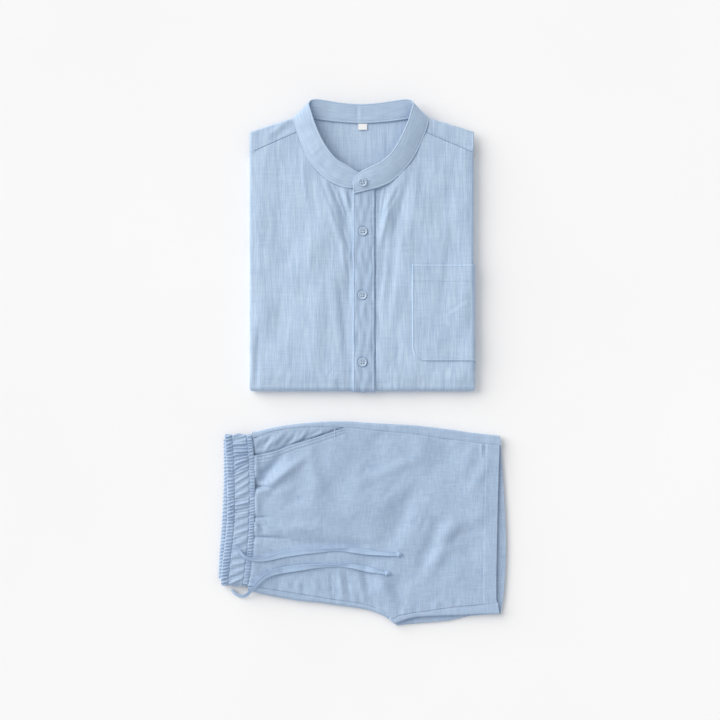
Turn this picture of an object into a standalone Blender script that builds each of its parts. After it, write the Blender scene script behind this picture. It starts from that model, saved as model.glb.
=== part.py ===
"""A folded two-piece set laid flat: a band-collar shirt above a pair of drawstring shorts.

Sizes are in millimetres and every mesh is made in metres, +Z up. X runs across the shirt and along the
shorts from waist to hem, Y runs from the shorts up to the collar, and Z = 0 is the surface that both lie on.
"""

import math
from collections import namedtuple

import bmesh
import bpy
import numpy as np
from mathutils import Vector

MM = 0.001
ORIGIN = (2.0, -0.5, 0.0)  # moves the measured places so that the set's middle is at x = y = 0
CLOTH = 1.2  # thickness of a cloth wall
GAP = 0.3  # clearance between neighbouring pieces
LIFT = CLOTH + GAP + 0.05  # middle of a wall to the middle of the next wall on it

# Shirt, folded to a pad: sides turned back, then the lower half turned under
STACK = 15.6  # thickness of the folded shirt at its sides
FOLD_Z = STACK / 2  # height of the plane between its upper and lower half
SKIN = FOLD_Z - CLOTH / 2  # the outer wall's middle, measured from that plane
RETURN_RHO = CLOTH / 2 + 0.2  # the turned-back side, measured from that plane
SIDE_R = (SKIN - RETURN_RHO) / 2  # radius of the turn at each side
RETURN = 6.0  # length of the side that is turned back inside
TURN_STEPS = (0, 36, 72, 108, 144, 180)  # places round the turn, in degrees
BOTTOM_Y = -40.3
HINGE_Y = BOTTOM_Y + FOLD_Z  # axis of the fold at the bottom
HEM_Y = 288.0  # the turned-under half ends here
CROWN = 0.8  # rise of the pad at its centre line
LEFT_EDGE = -159.4
RIGHT_EDGE = [(-45, 159.6), (141, 157.5), (295, 154.7), (345, 153.6)]  # y, x
FRONT_MEETING = 6.2  # x where the two fronts meet under the placket
PLACKET = (-15.4, 16.0)
PLACKET_TOP = 238.6
PLACKET_END = math.radians(138)  # how far the placket follows the bottom fold
BACK_Z = 10.6  # the yoke's layer inside the pad
BACK_END_Y = 226.0

YOKE_SEAM_LEFT = [(-155.6, 294.6), (-91.6, 323.0)]
YOKE_SEAM_RIGHT = [(84.6, 323.0), (150.9, 294.6)]
NECK_LEFT = [(-91.6, 323.0), (-83.6, 294.4), (-72.5, 276.6), (-54.6, 257.6), (-34.4, 246.8), (-14, 243.0)]
NECK_RIGHT = [(10.1, 241.6), (23.5, 245.3), (41.3, 254.2), (61.5, 274.4), (74.9, 294.4), (84.6, 323.0)]
NECK_TUCK = 2.6  # how far the fronts reach under the collar

Crease = namedtuple("Crease", "x0 y0 x1 y1 width height")
SHIRT_CREASES = [
    Crease(-42, 252, -17, 178, 5.5, -1.3),
    Crease(-31, 247, -17, 205, 3.6, 0.9),
    Crease(-58, 262, -19, 138, 7.0, 0.9),
    Crease(-22, 120, -24, -10, 6.0, -0.6),
    Crease(22, 243, 20, 176, 4.2, -1.1),
    Crease(44, 252, 18, 150, 6.5, 1.1),
    Crease(58, 250, 22, 96, 9.0, -0.8),
    Crease(30, 90, 24, -20, 7.5, 0.7),
    Crease(-126, 285, -132, 20, 15.0, -0.7),
    Crease(-98, 270, -96, 30, 16.0, 0.6),
    Crease(96, 290, 104, 150, 14.0, 0.5),
]
CREASE_CLEAR = (16.0, 24.0)  # creases fade out between these distances from the centre line

CollarRow = namedtuple("CollarRow", "seam_x seam_y seam_z top_x top_y top_z")
COLLAR = [
    CollarRow(-2.0, 243.6, 18.0, 3.0, 263.0, 19.6),
    CollarRow(-18.9, 243.4, 17.8, -8.6, 266.4, 21.0),
    CollarRow(-34.4, 246.8, 17.6, -21.1, 274.4, 22.6),
    CollarRow(-54.6, 257.6, 17.4, -38.0, 284.6, 24.2),
    CollarRow(-72.5, 276.6, 17.2, -49.6, 298.4, 25.4),
    CollarRow(-83.6, 294.4, 17.0, -58.6, 313.0, 26.2),
    CollarRow(-93.7, 322.3, 16.9, -67.4, 333.2, 26.4),
    CollarRow(-98.0, 337.4, 16.7, -73.1, 350.7, 25.6),
    CollarRow(-97.6, 343.4, 14.6, -76.0, 361.0, 23.6),
    CollarRow(-90.0, 345.2, 12.6, -73.8, 366.1, 21.2),
    CollarRow(-78.0, 342.6, 12.2, -66.8, 368.1, 19.2),
    CollarRow(-55.3, 338.8, 12.2, -53.0, 366.8, 17.4),
    CollarRow(-30.1, 336.2, 12.2, -31.0, 363.5, 16.4),
    CollarRow(-3.5, 334.8, 12.2, -3.5, 361.6, 16.0),
    CollarRow(23.0, 336.0, 12.2, 24.0, 363.6, 16.4),
    CollarRow(48.3, 338.6, 12.2, 46.0, 366.8, 17.4),
    CollarRow(71.0, 342.2, 12.2, 59.8, 368.1, 19.2),
    CollarRow(83.0, 344.4, 12.6, 66.8, 366.0, 21.2),
    CollarRow(90.4, 342.4, 14.6, 69.0, 360.6, 23.6),
    CollarRow(91.0, 336.6, 16.7, 66.3, 350.7, 25.6),
    CollarRow(87.1, 322.3, 16.9, 60.6, 333.2, 26.4),
    CollarRow(74.9, 294.4, 17.0, 50.4, 311.5, 26.2),
    CollarRow(61.5, 274.4, 17.3, 38.6, 293.0, 25.6),
    CollarRow(41.3, 254.2, 18.0, 23.5, 280.0, 24.8),
    CollarRow(23.5, 245.3, 19.2, 10.5, 273.6, 24.0),
    CollarRow(6.0, 240.6, 19.9, -1.0, 268.2, 23.2),
    CollarRow(-8.4, 236.9, 20.0, -10.2, 262.4, 22.4),
    CollarRow(-13.4, 235.8, 20.0, -14.4, 253.0, 21.6),
]
COLLAR_BOW = 1.1  # how far the band bulges between its two edges

YokeRow = namedtuple("YokeRow", "neck_x neck_y outer_x outer_y z")
YOKE_FRONT = [  # the left shoulder's top, from the front seam to the shoulder fold
    YokeRow(-91.6, 323.6, -159.4, 295.2, 15.0),
    YokeRow(-95.0, 331.0, -159.4, 304.5, 15.0),
    YokeRow(-99.4, 337.6, -159.4, 315.0, 15.0),
]
SHOULDER = [(-160.0, 323.9), (-98.7, 342.3)]  # the shoulder fold's outline
SHOULDER_R = (15.0 - BACK_Z) / 2
YOKE_INSIDE = [  # the layer inside, from under the shoulder round to the centre back
    YokeRow(-100.0, 334.0, -150.0, 300.0, BACK_Z),
    YokeRow(-92.0, 341.0, -149.0, 262.0, BACK_Z),
    YokeRow(-74.0, 342.2, -140.0, BACK_END_Y, BACK_Z),
    YokeRow(-52.0, 339.6, -92.0, BACK_END_Y, BACK_Z),
    YokeRow(-28.0, 337.2, -44.0, BACK_END_Y, BACK_Z),
    YokeRow(-3.5, 336.4, -3.5, BACK_END_Y, BACK_Z),
]
YOKE_MIRROR_X = -3.5  # the right half mirrors the left one about this line
YOKE_STRETCH_X = 93.0  # and is this much longer beyond this place
YOKE_STRETCH = 0.0387

BUTTON_R = 6.0
BUTTON_THICK = 2.2
BUTTON_X = -1.0
BUTTON_YS = [183.3, 94.1, 0.4]
COLLAR_BUTTON = (-1.6, 251.6)
HOLE_R = 0.75
HOLE_SPREAD = 1.35
POCKET_LEFT = 67.5
POCKET_TOP = 137.1
POCKET_BOTTOM = 2.1
POCKET_CORNER = 20.0
LABEL = (-7.3, 5.0, 325.6, 334.2)

# Hidden layers of the shirt: z, then how far each edge stands in from the pad's outline
LayerRing = namedtuple("LayerRing", "z zone side_in end_in")
SHIRT_LAYERS = [
    LayerRing(0.0, "head", 1.6, 1.6),
    LayerRing(0.9, "head", 0.2, 0.2),
    LayerRing(1.6, "head", 0.0, 0.0),
    LayerRing(1.6, "all", 0.0, 0.0),
    LayerRing(2.9, "all", 0.0, 0.0),
    LayerRing(3.3, "all", 0.8, 2.6),
    LayerRing(3.7, "all", 0.0, 0.0),
    LayerRing(6.0, "all", 0.0, 0.0),
    LayerRing(6.3, "slot", 2.6, 2.6),
    LayerRing(7.0, "slot", 0.4, 0.6),
    LayerRing(8.9, "slot", 0.4, 0.6),
    LayerRing(9.5, "narrow_slot", 0.0, 2.0),
    LayerRing(9.5, "trunk_slot", 0.0, 0.0),
    LayerRing(9.7, "trunk", 0.0, 0.0),
    LayerRing(11.8, "trunk", 0.0, 0.0),
    LayerRing(13.0, "trunk", 1.0, 1.0),
]

# Shorts, folded in half down the centre with the left leg on top
TOP_OUTLINE = [(-160, -99.6), (-133, -92.5), (-104, -87.1), (-66, -82.6), (-27, -80.8), (18, -84.0),
               (70, -88.1), (115, -93.2), (152, -98.3), (198, -103.4)]
SIDE_SEAM = [(-160, -109.2), (-134, -98.7), (-115, -93.8), (-90, -91.0), (-63, -90.2), (-27, -91.0),
             (8, -94.4), (49, -98.0), (100, -104.6), (164, -113.3), (198, -117.0)]
POCKET_MOUTH = [(-160, -131.6), (-125.6, -124.6), (-98.8, -114.7), (-72.1, -106.7), (-42.0, -96.6)]
POCKET_END_X = -42.0
FRONT_LOWER = [(-160, -313.0), (-138.2, -316.5), (-90, -324.5), (-43.5, -332.0), (-4.9, -337.4),
               (20, -345.0), (34, -353.2), (42.0, -358.6), (50.8, -354.6), (71.3, -350.8),
               (95.5, -347.5), (125.6, -343.1), (153.3, -340.8), (190, -336.4)]
LEG_EDGE = [(44, -366.6), (55.6, -361.9), (73.8, -357.2), (107.5, -355.3), (131.6, -354.6),
            (169, -352.9), (192, -352.9)]
STACK_OUTLINE = [(-160, -319.6), (-143.5, -324.5), (-117, -329.8), (-90, -334.3), (-63, -337.0),
                 (-33, -339.4), (-2, -343.0), (20.3, -350.0), (33.9, -357.2), (43, -365.6)]
UNDER_OUTLINE = [(-160, -319.6), (-117, -329.8), (-63, -337.0), (-2, -343.0), (20.3, -350.0),
                 (33.9, -357.2), (46.1, -368.2), (59.2, -366.5), (83.3, -364.3), (107.5, -362.5),
                 (131.6, -358.8), (154.4, -353.6), (200, -351.0)]
HEM_FRONT = [(-356, 191.4), (-336, 187.2), (-323, 186.0), (-251, 186.9), (-169, 188.9), (-100, 191.2)]
HEM_BACK = [(-356, 191.8), (-323, 196.7), (-272, 199.5), (-231, 199.2), (-169, 196.1), (-116, 192.6),
            (-100, 191.4)]
BAND_RIGHT = [(-330, -163.4), (-313, -161.3), (-281, -156.8), (-245, -153.3), (-174, -151.5),
              (-129, -153.3), (-95, -156.6)]
TOP_LEVEL = [(-160, 11.6), (-120, 12.0), (-60, 11.4), (20, 10.2), (100, 8.9), (200, 7.9)]
BACK_LEVEL = [(-160, 6.6), (-60, 6.2), (60, 5.3), (200, 4.6)]
CROTCH = (34.0, 46.0)  # the back's inseam edge turns up between these two places
BACK_TUCK = 12.0  # left of the crotch the back ends this far inside the front's lower seam
TUCK_FLATTEN = 2.2  # and its turned edge is this much lower there
FACING_DROP = 1.6  # the pocket's facing lies this far below its mouth
FACING_UNDER = 9.0
SHORTS_CREASES = [
    Crease(-158, -182, -96, -150, 9.0, 1.5),
    Crease(-156, -150, -118, -160, 9.0, -1.4),
    Crease(-158, -196, -132, -193, 3.6, -1.5),
    Crease(-158, -264, -60, -262, 8.0, 1.1),
    Crease(-157, -243, -118, -252, 5.0, -1.1),
    Crease(-150, -286, -30, -300, 12.0, -0.8),
    Crease(-104, -215, 40, -190, 22.0, 0.9),
    Crease(60, -330, 130, -200, 16.0, -0.8),
    Crease(96, -330, 168, -220, 14.0, 0.7),
    Crease(-20, -130, 60, -160, 18.0, -0.6),
]

# Waistband: a gathered casing with an elastic above and below the drawstring's channel
BAND_THICK = 1.6
SEAM_CLEAR = 0.18  # the band and the panels each stand this far off the waist seam
BAND_TOP_Z = 12.6
BAND_R = (BAND_TOP_Z - BAND_THICK / 2) / 2  # radius of the fold at the centre front
BAND_SIDE_R = 2.3
BAND_UNDER = 3.0
GATHERS = 42
GATHER_STEP = 2  # points for each gather
BandColumn = namedtuple("BandColumn", "share rise depth")  # share of the width, rise and gather depth
BAND_COLUMNS = [
    BandColumn(0.00, -1.0, 0.55),
    BandColumn(0.12, 0.2, 0.80),
    BandColumn(0.27, -0.3, 0.40),
    BandColumn(0.52, 0.7, 0.50),
    BandColumn(0.80, -0.3, 0.35),
    BandColumn(0.90, 0.1, 0.60),
    BandColumn(1.00, -0.6, 0.30),
]
BAND_LEFT = [(-330, -198.4), (-310, -199.5), (-299, -199.8), (-272, -197.0), (-245, -193.5),
             (-209, -190.8), (-156, -191.7), (-120, -193.5), (-95, -194.8)]
BAND_FOLD_Y = -312.6  # the fold at the centre front
BAND_SIDE_Y = -100.4  # the fold at the side seam
INNER_BAND_LEFT = [(-330, -202.0), (-308, -201.7), (-299, -203.1), (-263, -201.3), (-218, -198.0),
                   (-174, -196.1), (-138, -195.6), (-95, -196.0)]
INNER_BAND_Z = 7.9
INNER_BAND_BULGE = (1.0, 2.1, 2.1)  # half its height at the edge, further in and at its end
INNER_BAND_WIDTH = 16.0
INNER_BAND_YS = (-107.6, -303.0)
INNER_GATHERS = 26

ShortsRing = namedtuple("ShortsRing", "z side_in hem_in band_in")
SHORTS_LAYERS = [
    ShortsRing(0.0, 1.8, 4.0, 3.4),
    ShortsRing(0.7, 0.5, 2.8, 2.2),
    ShortsRing(1.6, 0.2, 2.4, 1.6),
    ShortsRing(2.1, 2.0, 4.2, 3.6),
    ShortsRing(2.6, 0.3, 2.4, 1.6),
    ShortsRing(3.2, 1.4, 3.4, 2.6),
]
CORE_CLEAR = 1.0  # between the hidden layers and the wall over them

# Drawstring: a flat self-fabric tape in two free ends
TAPE_WIDTH = 6.2
TAPE_THICK = 1.6
StringPoint = namedtuple("StringPoint", "x y z turn")  # turn is the tape's twist in degrees
DRAWSTRINGS = {
    "drawstring_upper": [
        StringPoint(-180.5, -259.6, 17.8, 60), StringPoint(-175.6, -260.4, 18.4, 70),
        StringPoint(-171.2, -265.6, 18.4, 62), StringPoint(-166.0, -271.4, 17.8, 45),
        StringPoint(-156.0, -274.6, 16.6, 24), StringPoint(-143.5, -275.6, 15.2, 10),
        StringPoint(-129.0, -272.8, 15.0, 6), StringPoint(-112.0, -268.4, 14.9, 2),
        StringPoint(-88.9, -265.0, 14.6, 0), StringPoint(-60.0, -263.0, 14.0, 0),
        StringPoint(-36.3, -261.7, 13.6, 4), StringPoint(-16.1, -262.6, 13.2, 0),
        StringPoint(4.9, -265.6, 12.8, -8), StringPoint(25.9, -268.0, 12.4, 0),
        StringPoint(46.0, -269.0, 12.1, 0),
    ],
    "drawstring_lower": [
        StringPoint(-184.6, -318.6, 3.4, 60), StringPoint(-180.6, -323.8, 3.2, 50),
        StringPoint(-173.4, -327.4, 4.4, 40), StringPoint(-165.4, -326.4, 8.6, 34),
        StringPoint(-158.4, -320.4, 13.2, 26), StringPoint(-151.0, -311.6, 16.2, 20),
        StringPoint(-141.0, -301.6, 16.0, 16), StringPoint(-129.0, -295.0, 15.2, 8),
        StringPoint(-112.0, -290.8, 14.9, 4), StringPoint(-88.9, -287.2, 14.4, 0),
        StringPoint(-64.0, -285.0, 13.9, 0), StringPoint(-36.4, -283.9, 13.4, 0),
        StringPoint(-16.1, -285.2, 13.1, 6), StringPoint(4.0, -289.2, 12.8, 0),
        StringPoint(29.6, -294.6, 12.3, 0),
    ],
}
STRING_STEP = 7.6
STRING_LANDS = (-148.0, -120.0)  # the tape comes down on to the front between these two places
STRING_CLEAR = 0.7
KNOT_R = 3.6
KNOT_FLAT = 0.62
KNOT_LIFT = 1.3


def clear_scene():
    for obj in list(bpy.data.objects):
        bpy.data.objects.remove(obj)


def finish_material(name, colour, roughness):
    """A Principled material of one colour."""
    material = bpy.data.materials.new(name)
    material.use_nodes = True
    shader = material.node_tree.nodes["Principled BSDF"]
    shader.inputs["Base Color"].default_value = (*colour, 1)
    shader.inputs["Roughness"].default_value = roughness
    shader.inputs["Metallic"].default_value = 0
    return material


def smooth_step(low, high, value):
    t = np.clip((np.asarray(value, float) - low) / (high - low), 0, 1)
    return t * t * (3 - 2 * t)


def spline(points, per_span):
    """A smooth line through the points, with per_span steps between each two."""
    p = np.array(points, float)
    p = np.vstack([2 * p[0] - p[1], p, 2 * p[-1] - p[-2]])
    t = np.arange(per_span)[:, None] / per_span
    spans = []
    for a, b, c, d in zip(p, p[1:], p[2:], p[3:]):
        spans.append(0.5 * (2 * b + (c - a) * t + (2 * a - 5 * b + 4 * c - d) * t**2
                            + (3 * b - a - 3 * c + d) * t**3))
    return np.vstack([*spans, p[-2:-1]])


def read(table, value):
    """The second column of a table, read smoothly at values of its first."""
    line = spline(table, 5)
    return np.interp(value, line[:, 0], line[:, 1])


def offset_line(points, distance):
    """The line moved sideways, to the left of its direction."""
    p = np.array(points, float)
    along = np.gradient(p, axis=0)
    along /= np.linalg.norm(along, axis=1)[:, None]
    return p + distance * np.stack([-along[:, 1], along[:, 0]], axis=1)


def relief(creases, x, y):
    """Height that soft ridges and troughs add at x, y; each fades towards its two ends."""
    total = np.zeros(np.broadcast(x, y).shape)
    for c in creases:
        dx, dy = c.x1 - c.x0, c.y1 - c.y0
        length = math.hypot(dx, dy)
        share = ((x - c.x0) * dx + (y - c.y0) * dy) / length**2
        off = ((x - c.x0) * dy - (y - c.y0) * dx) / length
        fade = np.sin(np.pi * np.clip(share, 0, 1)) ** 0.8
        total += c.height * fade * np.exp(-((off / c.width) ** 2))
    return total


def add_solid(name, points, faces, finish):
    """One closed solid from points in millimetres."""
    mesh = bpy.data.meshes.new(name)
    mesh.from_pydata([tuple(p) for p in np.asarray(points) * MM], [], faces)
    shape = bmesh.new()
    shape.from_mesh(mesh)
    bmesh.ops.remove_doubles(shape, verts=shape.verts, dist=0.01 * MM)
    bmesh.ops.dissolve_degenerate(shape, edges=shape.edges, dist=0.005 * MM)
    bmesh.ops.recalc_face_normals(shape, faces=shape.faces)
    shape.to_mesh(mesh)
    shape.free()
    mesh.materials.append(finish)
    mesh.shade_smooth()
    mesh.set_sharp_from_angle(angle=math.radians(50))
    obj = bpy.data.objects.new(name, mesh)
    obj.location = Vector(ORIGIN) * MM
    bpy.context.scene.collection.objects.link(obj)
    return obj


def add_wall(name, outer, inner, finish):
    """A closed wall between two skins, each an array of rows, columns and x, y, z."""
    rows, columns = outer.shape[:2]
    count = rows * columns
    faces = []
    for r in range(rows - 1):
        for c in range(columns - 1):
            a = r * columns + c
            quad = (a, a + 1, a + columns + 1, a + columns)
            faces += [quad, tuple(count + i for i in reversed(quad))]
    rim = [*range(columns), *range(2 * columns - 1, count, columns),
           *range(count - 2, count - columns - 1, -1), *range(count - 2 * columns, 0, -columns)]
    faces += [(b, a, count + a, count + b) for a, b in zip(rim, rim[1:] + rim[:1])]
    return add_solid(name, np.concatenate([outer.reshape(-1, 3), inner.reshape(-1, 3)]), faces, finish)


def skins(middle, thickness):
    """The two skins half a thickness either side of a middle surface."""
    normal = np.cross(np.gradient(middle, axis=1), np.gradient(middle, axis=0))
    normal /= np.maximum(np.linalg.norm(normal, axis=2, keepdims=True), 1e-9)
    return middle + normal * thickness / 2, middle - normal * thickness / 2


def add_rings(name, rings, finish):
    """A closed solid lofted up through closed rings that have the same number of points."""
    count = len(rings[0])
    faces = [tuple(range(count)), tuple(range(len(rings) * count - 1, (len(rings) - 1) * count - 1, -1))]
    for level in range(len(rings) - 1):
        for i in range(count):
            a, b = level * count + i, level * count + (i + 1) % count
            faces.append((b, a, a + count, b + count))
    return add_solid(name, np.concatenate(rings), faces, finish)


# Shirt

def side_edge(side, y):
    """Distance of the pad's left (-1) or right (1) outline from x = 0."""
    right = np.interp(y, *zip(*RIGHT_EDGE))
    return np.where(np.asarray(side) < 0, -LEFT_EDGE, right)


def shirt_relief(x, y):
    clear = smooth_step(*CREASE_CLEAR, np.abs(x))
    return CROWN * (1 - (x / 160) ** 2) + relief(SHIRT_CREASES, x, y) * clear


def plan_y(y_flat):
    """The y at which a flat y of the cloth lies, leaving out the roll at the bottom."""
    past = np.maximum(HINGE_Y - y_flat, 0)
    return np.maximum(y_flat, HINGE_Y) + np.maximum(past - np.pi * SKIN, 0)


def shirt_sheet(across, y_flat, lift):
    """Points of the front cloth, which turns in at both sides and goes round under at the bottom.

    across is measured over the cloth from the centre line and y_flat along it. Below HINGE_Y the cloth
    rolls round the bottom fold, and lies under the pad from there to its hem. lift moves a point outwards.
    """
    across, y_flat = np.broadcast_arrays(np.asarray(across, float), np.asarray(y_flat, float))
    roll = np.clip((HINGE_Y - y_flat) / SKIN, 0, np.pi)
    plan = plan_y(y_flat)
    side, reach = np.sign(across), np.abs(across)
    start = side_edge(side, plan) - CLOTH / 2 - SIDE_R
    over = np.maximum(reach - start, 0)
    turn = np.clip(over / SIDE_R, 0, np.pi)
    back = np.maximum(over - np.pi * SIDE_R, 0)
    x = side * (np.minimum(reach, start) + SIDE_R * np.sin(turn) - back)
    rho = SKIN - SIDE_R * (1 - np.cos(turn))
    rho = rho + shirt_relief(x, plan) * np.clip(np.cos(turn), 0, 1) * np.clip(np.cos(roll), 0, 1)
    x = x + lift * side * np.sin(turn)
    rho = rho + lift * np.cos(turn)
    y = plan - rho * np.sin(roll)
    return np.stack([x, y, FOLD_Z + rho * np.cos(roll)], axis=-1)


def sheet_wall(name, across, y_flat, lift, finish):
    """A cloth wall on the folded shirt, lift above the middle of the fronts."""
    return add_wall(name, shirt_sheet(across, y_flat, lift + CLOTH / 2),
                    shirt_sheet(across, y_flat, lift - CLOTH / 2), finish)


def turned_under(y):
    """The flat coordinate of the cloth that lies at y under the pad."""
    return HINGE_Y - math.pi * SKIN - (y - HINGE_Y)


def front_rows(top):
    """Rows of flat y for columns whose cloth starts at top: down the pad, round the fold, under to the hem."""
    upper = np.linspace(0, 1, 15)[:, None]
    knee = HINGE_Y + 6
    rows = [top[None, :] + (knee - top[None, :]) * upper]
    rolled = HINGE_Y - SKIN * np.radians([0, 36, 72, 108, 144, 180])
    under = [turned_under(120.0), turned_under(HEM_Y)]
    for y in [*rolled, *under]:
        rows.append(np.full((1, len(top)), y))
    return np.vstack(rows)


def turn_columns(side, rows, angles, beyond):
    """Places across the cloth, for each row, that take it round the side and then some way beyond."""
    start = side_edge(side, plan_y(rows)) - CLOTH / 2 - SIDE_R
    steps = SIDE_R * np.radians(angles)
    if beyond:
        steps = np.append(steps, steps[-1] + beyond)
    return side * (start[:, None] + steps[None, :])


def add_fronts(finish):
    """The two front panels, from the neck and the yoke seam down, round and under to the hem."""
    flat_left = [FRONT_MEETING - 0.2, -5, -14, -19, -24.5, -30, -36, -44, -54, -66, -80, -90.6, -108, -128, -144]
    flat_right = [FRONT_MEETING + 0.2, 15, 19.5, 25, 31, 38, 47, 58, 70, 84.6, 100, 118, 136]
    neck_left = offset_line(NECK_LEFT, NECK_TUCK)
    neck_right = offset_line(NECK_RIGHT, NECK_TUCK)
    edge_left = [*YOKE_SEAM_LEFT, *neck_left[1:], (FRONT_MEETING, neck_left[-1][1])]
    edge_right = [(FRONT_MEETING, neck_right[0][1]), *neck_right[:-1], *YOKE_SEAM_RIGHT]
    for name, side, flat, edge in (("front_right_panel", -1, flat_left, edge_left),
                                   ("front_left_panel", 1, flat_right, edge_right)):
        line = np.array(edge, float)
        reach = side * (float(side_edge(side, 295)) - CLOTH / 2 - SIDE_R)
        top = np.interp([*flat, *[reach] * (len(TURN_STEPS) + 1)], line[:, 0], line[:, 1]) - GAP
        rows = front_rows(top)
        turned = turn_columns(side, rows[:, -1], TURN_STEPS, RETURN)
        columns = np.hstack([np.repeat([flat], len(rows), axis=0), turned])
        sheet_wall(name, columns, rows, 0, finish)


def add_placket(finish):
    """The button strip, from under the collar's end down and round the bottom fold."""
    columns = np.linspace(*PLACKET, 5)
    top = PLACKET_TOP + 0.16 * (columns - PLACKET[0])
    rows = top[None, :] + (HINGE_Y - top[None, :]) * np.linspace(0, 1, 12)[:, None]
    rolled = HINGE_Y - SKIN * PLACKET_END * np.array([0.25, 0.5, 0.75, 1.0])
    rows = np.vstack([rows, np.repeat(rolled[:, None], len(columns), axis=1)])
    sheet_wall("placket", columns[None, :], rows, LIFT, finish)


def add_pocket(finish):
    """The chest pocket, with round lower corners; its outer side goes round the pad's side."""
    rows = np.array([137.1, 125, 113.3, 95, 75, 55, 38, 22.1, 14.5, 8.5, 4.6, 2.6, POCKET_BOTTOM])
    drop = np.clip(POCKET_BOTTOM + POCKET_CORNER - rows, 0, POCKET_CORNER)
    left = POCKET_LEFT + POCKET_CORNER - np.sqrt(POCKET_CORNER**2 - drop**2)
    around = turn_columns(1, rows, (0, 36, 72, 108, 124), 0)
    flat = np.linspace(0, 1, 6)[None, :-1]
    inner = left[:, None] + (around[:, :1] - left[:, None]) * flat
    sheet_wall("chest_pocket", np.hstack([inner, around]), rows[:, None], LIFT, finish)


def add_collar(finish):
    """The standing band: a strip round the neck whose left end laps over its right one."""
    rows = spline(COLLAR, 2)
    seam, top = rows[:, None, :3], rows[:, None, 3:]
    share = np.linspace(0, 1, 5)[None, :, None]
    middle = seam + (top - seam) * share
    along = np.gradient(middle, axis=0)
    outward = np.cross(along, top - seam)
    outward /= np.linalg.norm(outward, axis=2, keepdims=True)
    outward *= np.where(outward[:, 2:3, 2:3] < 0, -1, 1)
    bow = COLLAR_BOW * np.sin(np.pi * share)
    front = smooth_step(352, 330, middle[:, :, 1:2])
    outer, inner = skins(middle + outward * bow * front, CLOTH)
    add_wall("collar_band", outer, inner, finish)


def shoulder_rows():
    """Rows of the left shoulder's fold with their angles, turning from the pad's top to the layer inside."""
    (x0, y0), (x1, y1) = SHOULDER
    length = math.hypot(x1 - x0, y1 - y0)
    nx, ny = -(y1 - y0) / length, (x1 - x0) / length
    inset = SHOULDER_R + CLOTH / 2
    rows = []
    for angle in (0, 45, 90, 135, 180):
        off = SHOULDER_R * math.sin(math.radians(angle)) - inset
        z = BACK_Z + SHOULDER_R * (1 + math.cos(math.radians(angle)))
        neck_x = -100.2
        neck_y = y0 + (y1 - y0) * (neck_x - x0) / (x1 - x0)
        outer_x = -159.4 if angle < 180 else -153.0
        row = YokeRow(neck_x + nx * off, neck_y + ny * off, outer_x, y0 + ny * off, z)
        rows.append((row, angle))
    return rows


def yoke_row_points(row, fold):
    """One row across the left half of the yoke; fold is the shoulder fold's angle there in degrees."""
    inside = row.z <= BACK_Z + 0.01
    end = row.outer_x if inside else -(float(side_edge(-1, row.outer_y)) - CLOTH / 2 - SIDE_R)
    last = 0.92 if inside else 1.0
    points = []
    for share in np.array([0, 0.16, 0.33, 0.5, 0.67, 0.84, 1.0]) * last:
        x = row.neck_x + (end - row.neck_x) * share
        y = row.neck_y + (row.outer_y - row.neck_y) * share
        lift = 0 if inside else CROWN * (1 - (x / 160) ** 2) * (row.z - BACK_Z) / (15.0 - BACK_Z)
        points.append((x, y, row.z + lift))
    x0, y0, _ = points[-1]
    y0 -= SHOULDER_R * math.sin(math.radians(fold))
    for angle in (40, 80, 120, 150):
        if inside:
            share = last + (1 - last) * angle / 150
            points.append((row.neck_x + (end - row.neck_x) * share,
                           row.neck_y + (row.outer_y - row.neck_y) * share, row.z))
            continue
        heading = math.radians(90 * fold / (fold + angle))
        turn = math.radians(max(fold, angle))
        half = SHOULDER_R + 0.3 * math.cos(heading)
        points.append((x0 - SIDE_R * math.cos(heading) * math.sin(turn),
                       y0 + SHOULDER_R * math.sin(heading) * math.sin(turn),
                       15.0 - half * (1 - math.cos(turn))))
    return points


def add_yoke(finish):
    """The yoke: both shoulders' tops, their folds, and the layer that shows inside the neck."""
    rows = [yoke_row_points(row, 0) for row in YOKE_FRONT]
    rows += [yoke_row_points(row, angle) for row, angle in shoulder_rows()]
    rows += [yoke_row_points(row, 0) for row in YOKE_INSIDE]
    left = np.array(rows)
    right = left[-2::-1].copy()
    mirrored = 2 * YOKE_MIRROR_X - right[:, :, 0]
    right[:, :, 0] = mirrored + np.maximum(mirrored - YOKE_STRETCH_X, 0) * YOKE_STRETCH
    outer, inner = skins(np.concatenate([left, right]), CLOTH)
    add_wall("yoke", outer, inner, finish)


def add_button(name, place, normal, finish):
    """A turned button with a raised rim and four holes, its foot at place."""
    profile = [(0, 0.2), (BUTTON_R - 1.2, 0.2), (BUTTON_R, 1.0), (BUTTON_R - 0.3, BUTTON_THICK),
               (BUTTON_R - 1.5, BUTTON_THICK), (BUTTON_R - 2.3, 1.5), (0, 1.5)]
    sides = 12
    points = [(0, 0, profile[0][1])]
    for radius, z in profile[1:-1]:
        for i in range(sides):
            angle = 2 * math.pi * i / sides
            points.append((radius * math.cos(angle), radius * math.sin(angle), z))
    points.append((0, 0, profile[-1][1]))
    last = len(points) - 1
    faces = []
    for i in range(sides):
        j = (i + 1) % sides
        faces.append((0, 1 + j, 1 + i))
        for ring in range(len(profile) - 3):
            a, b = 1 + ring * sides + i, 1 + ring * sides + j
            faces.append((a, b, b + sides, a + sides))
        faces.append((last, last - sides + i, last - sides + j))
    button = add_solid(name, points, faces, finish)
    cutter = add_holes(name + "_cutter", finish)
    cut = button.modifiers.new("holes", "BOOLEAN")
    cut.operation = "DIFFERENCE"
    cut.object = cutter
    turn = normal.to_track_quat("Z", "Y")
    for obj in (button, cutter):
        obj.rotation_mode = "QUATERNION"
        obj.rotation_quaternion = turn
        obj.location = place + Vector(ORIGIN) * MM
    return button


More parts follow.
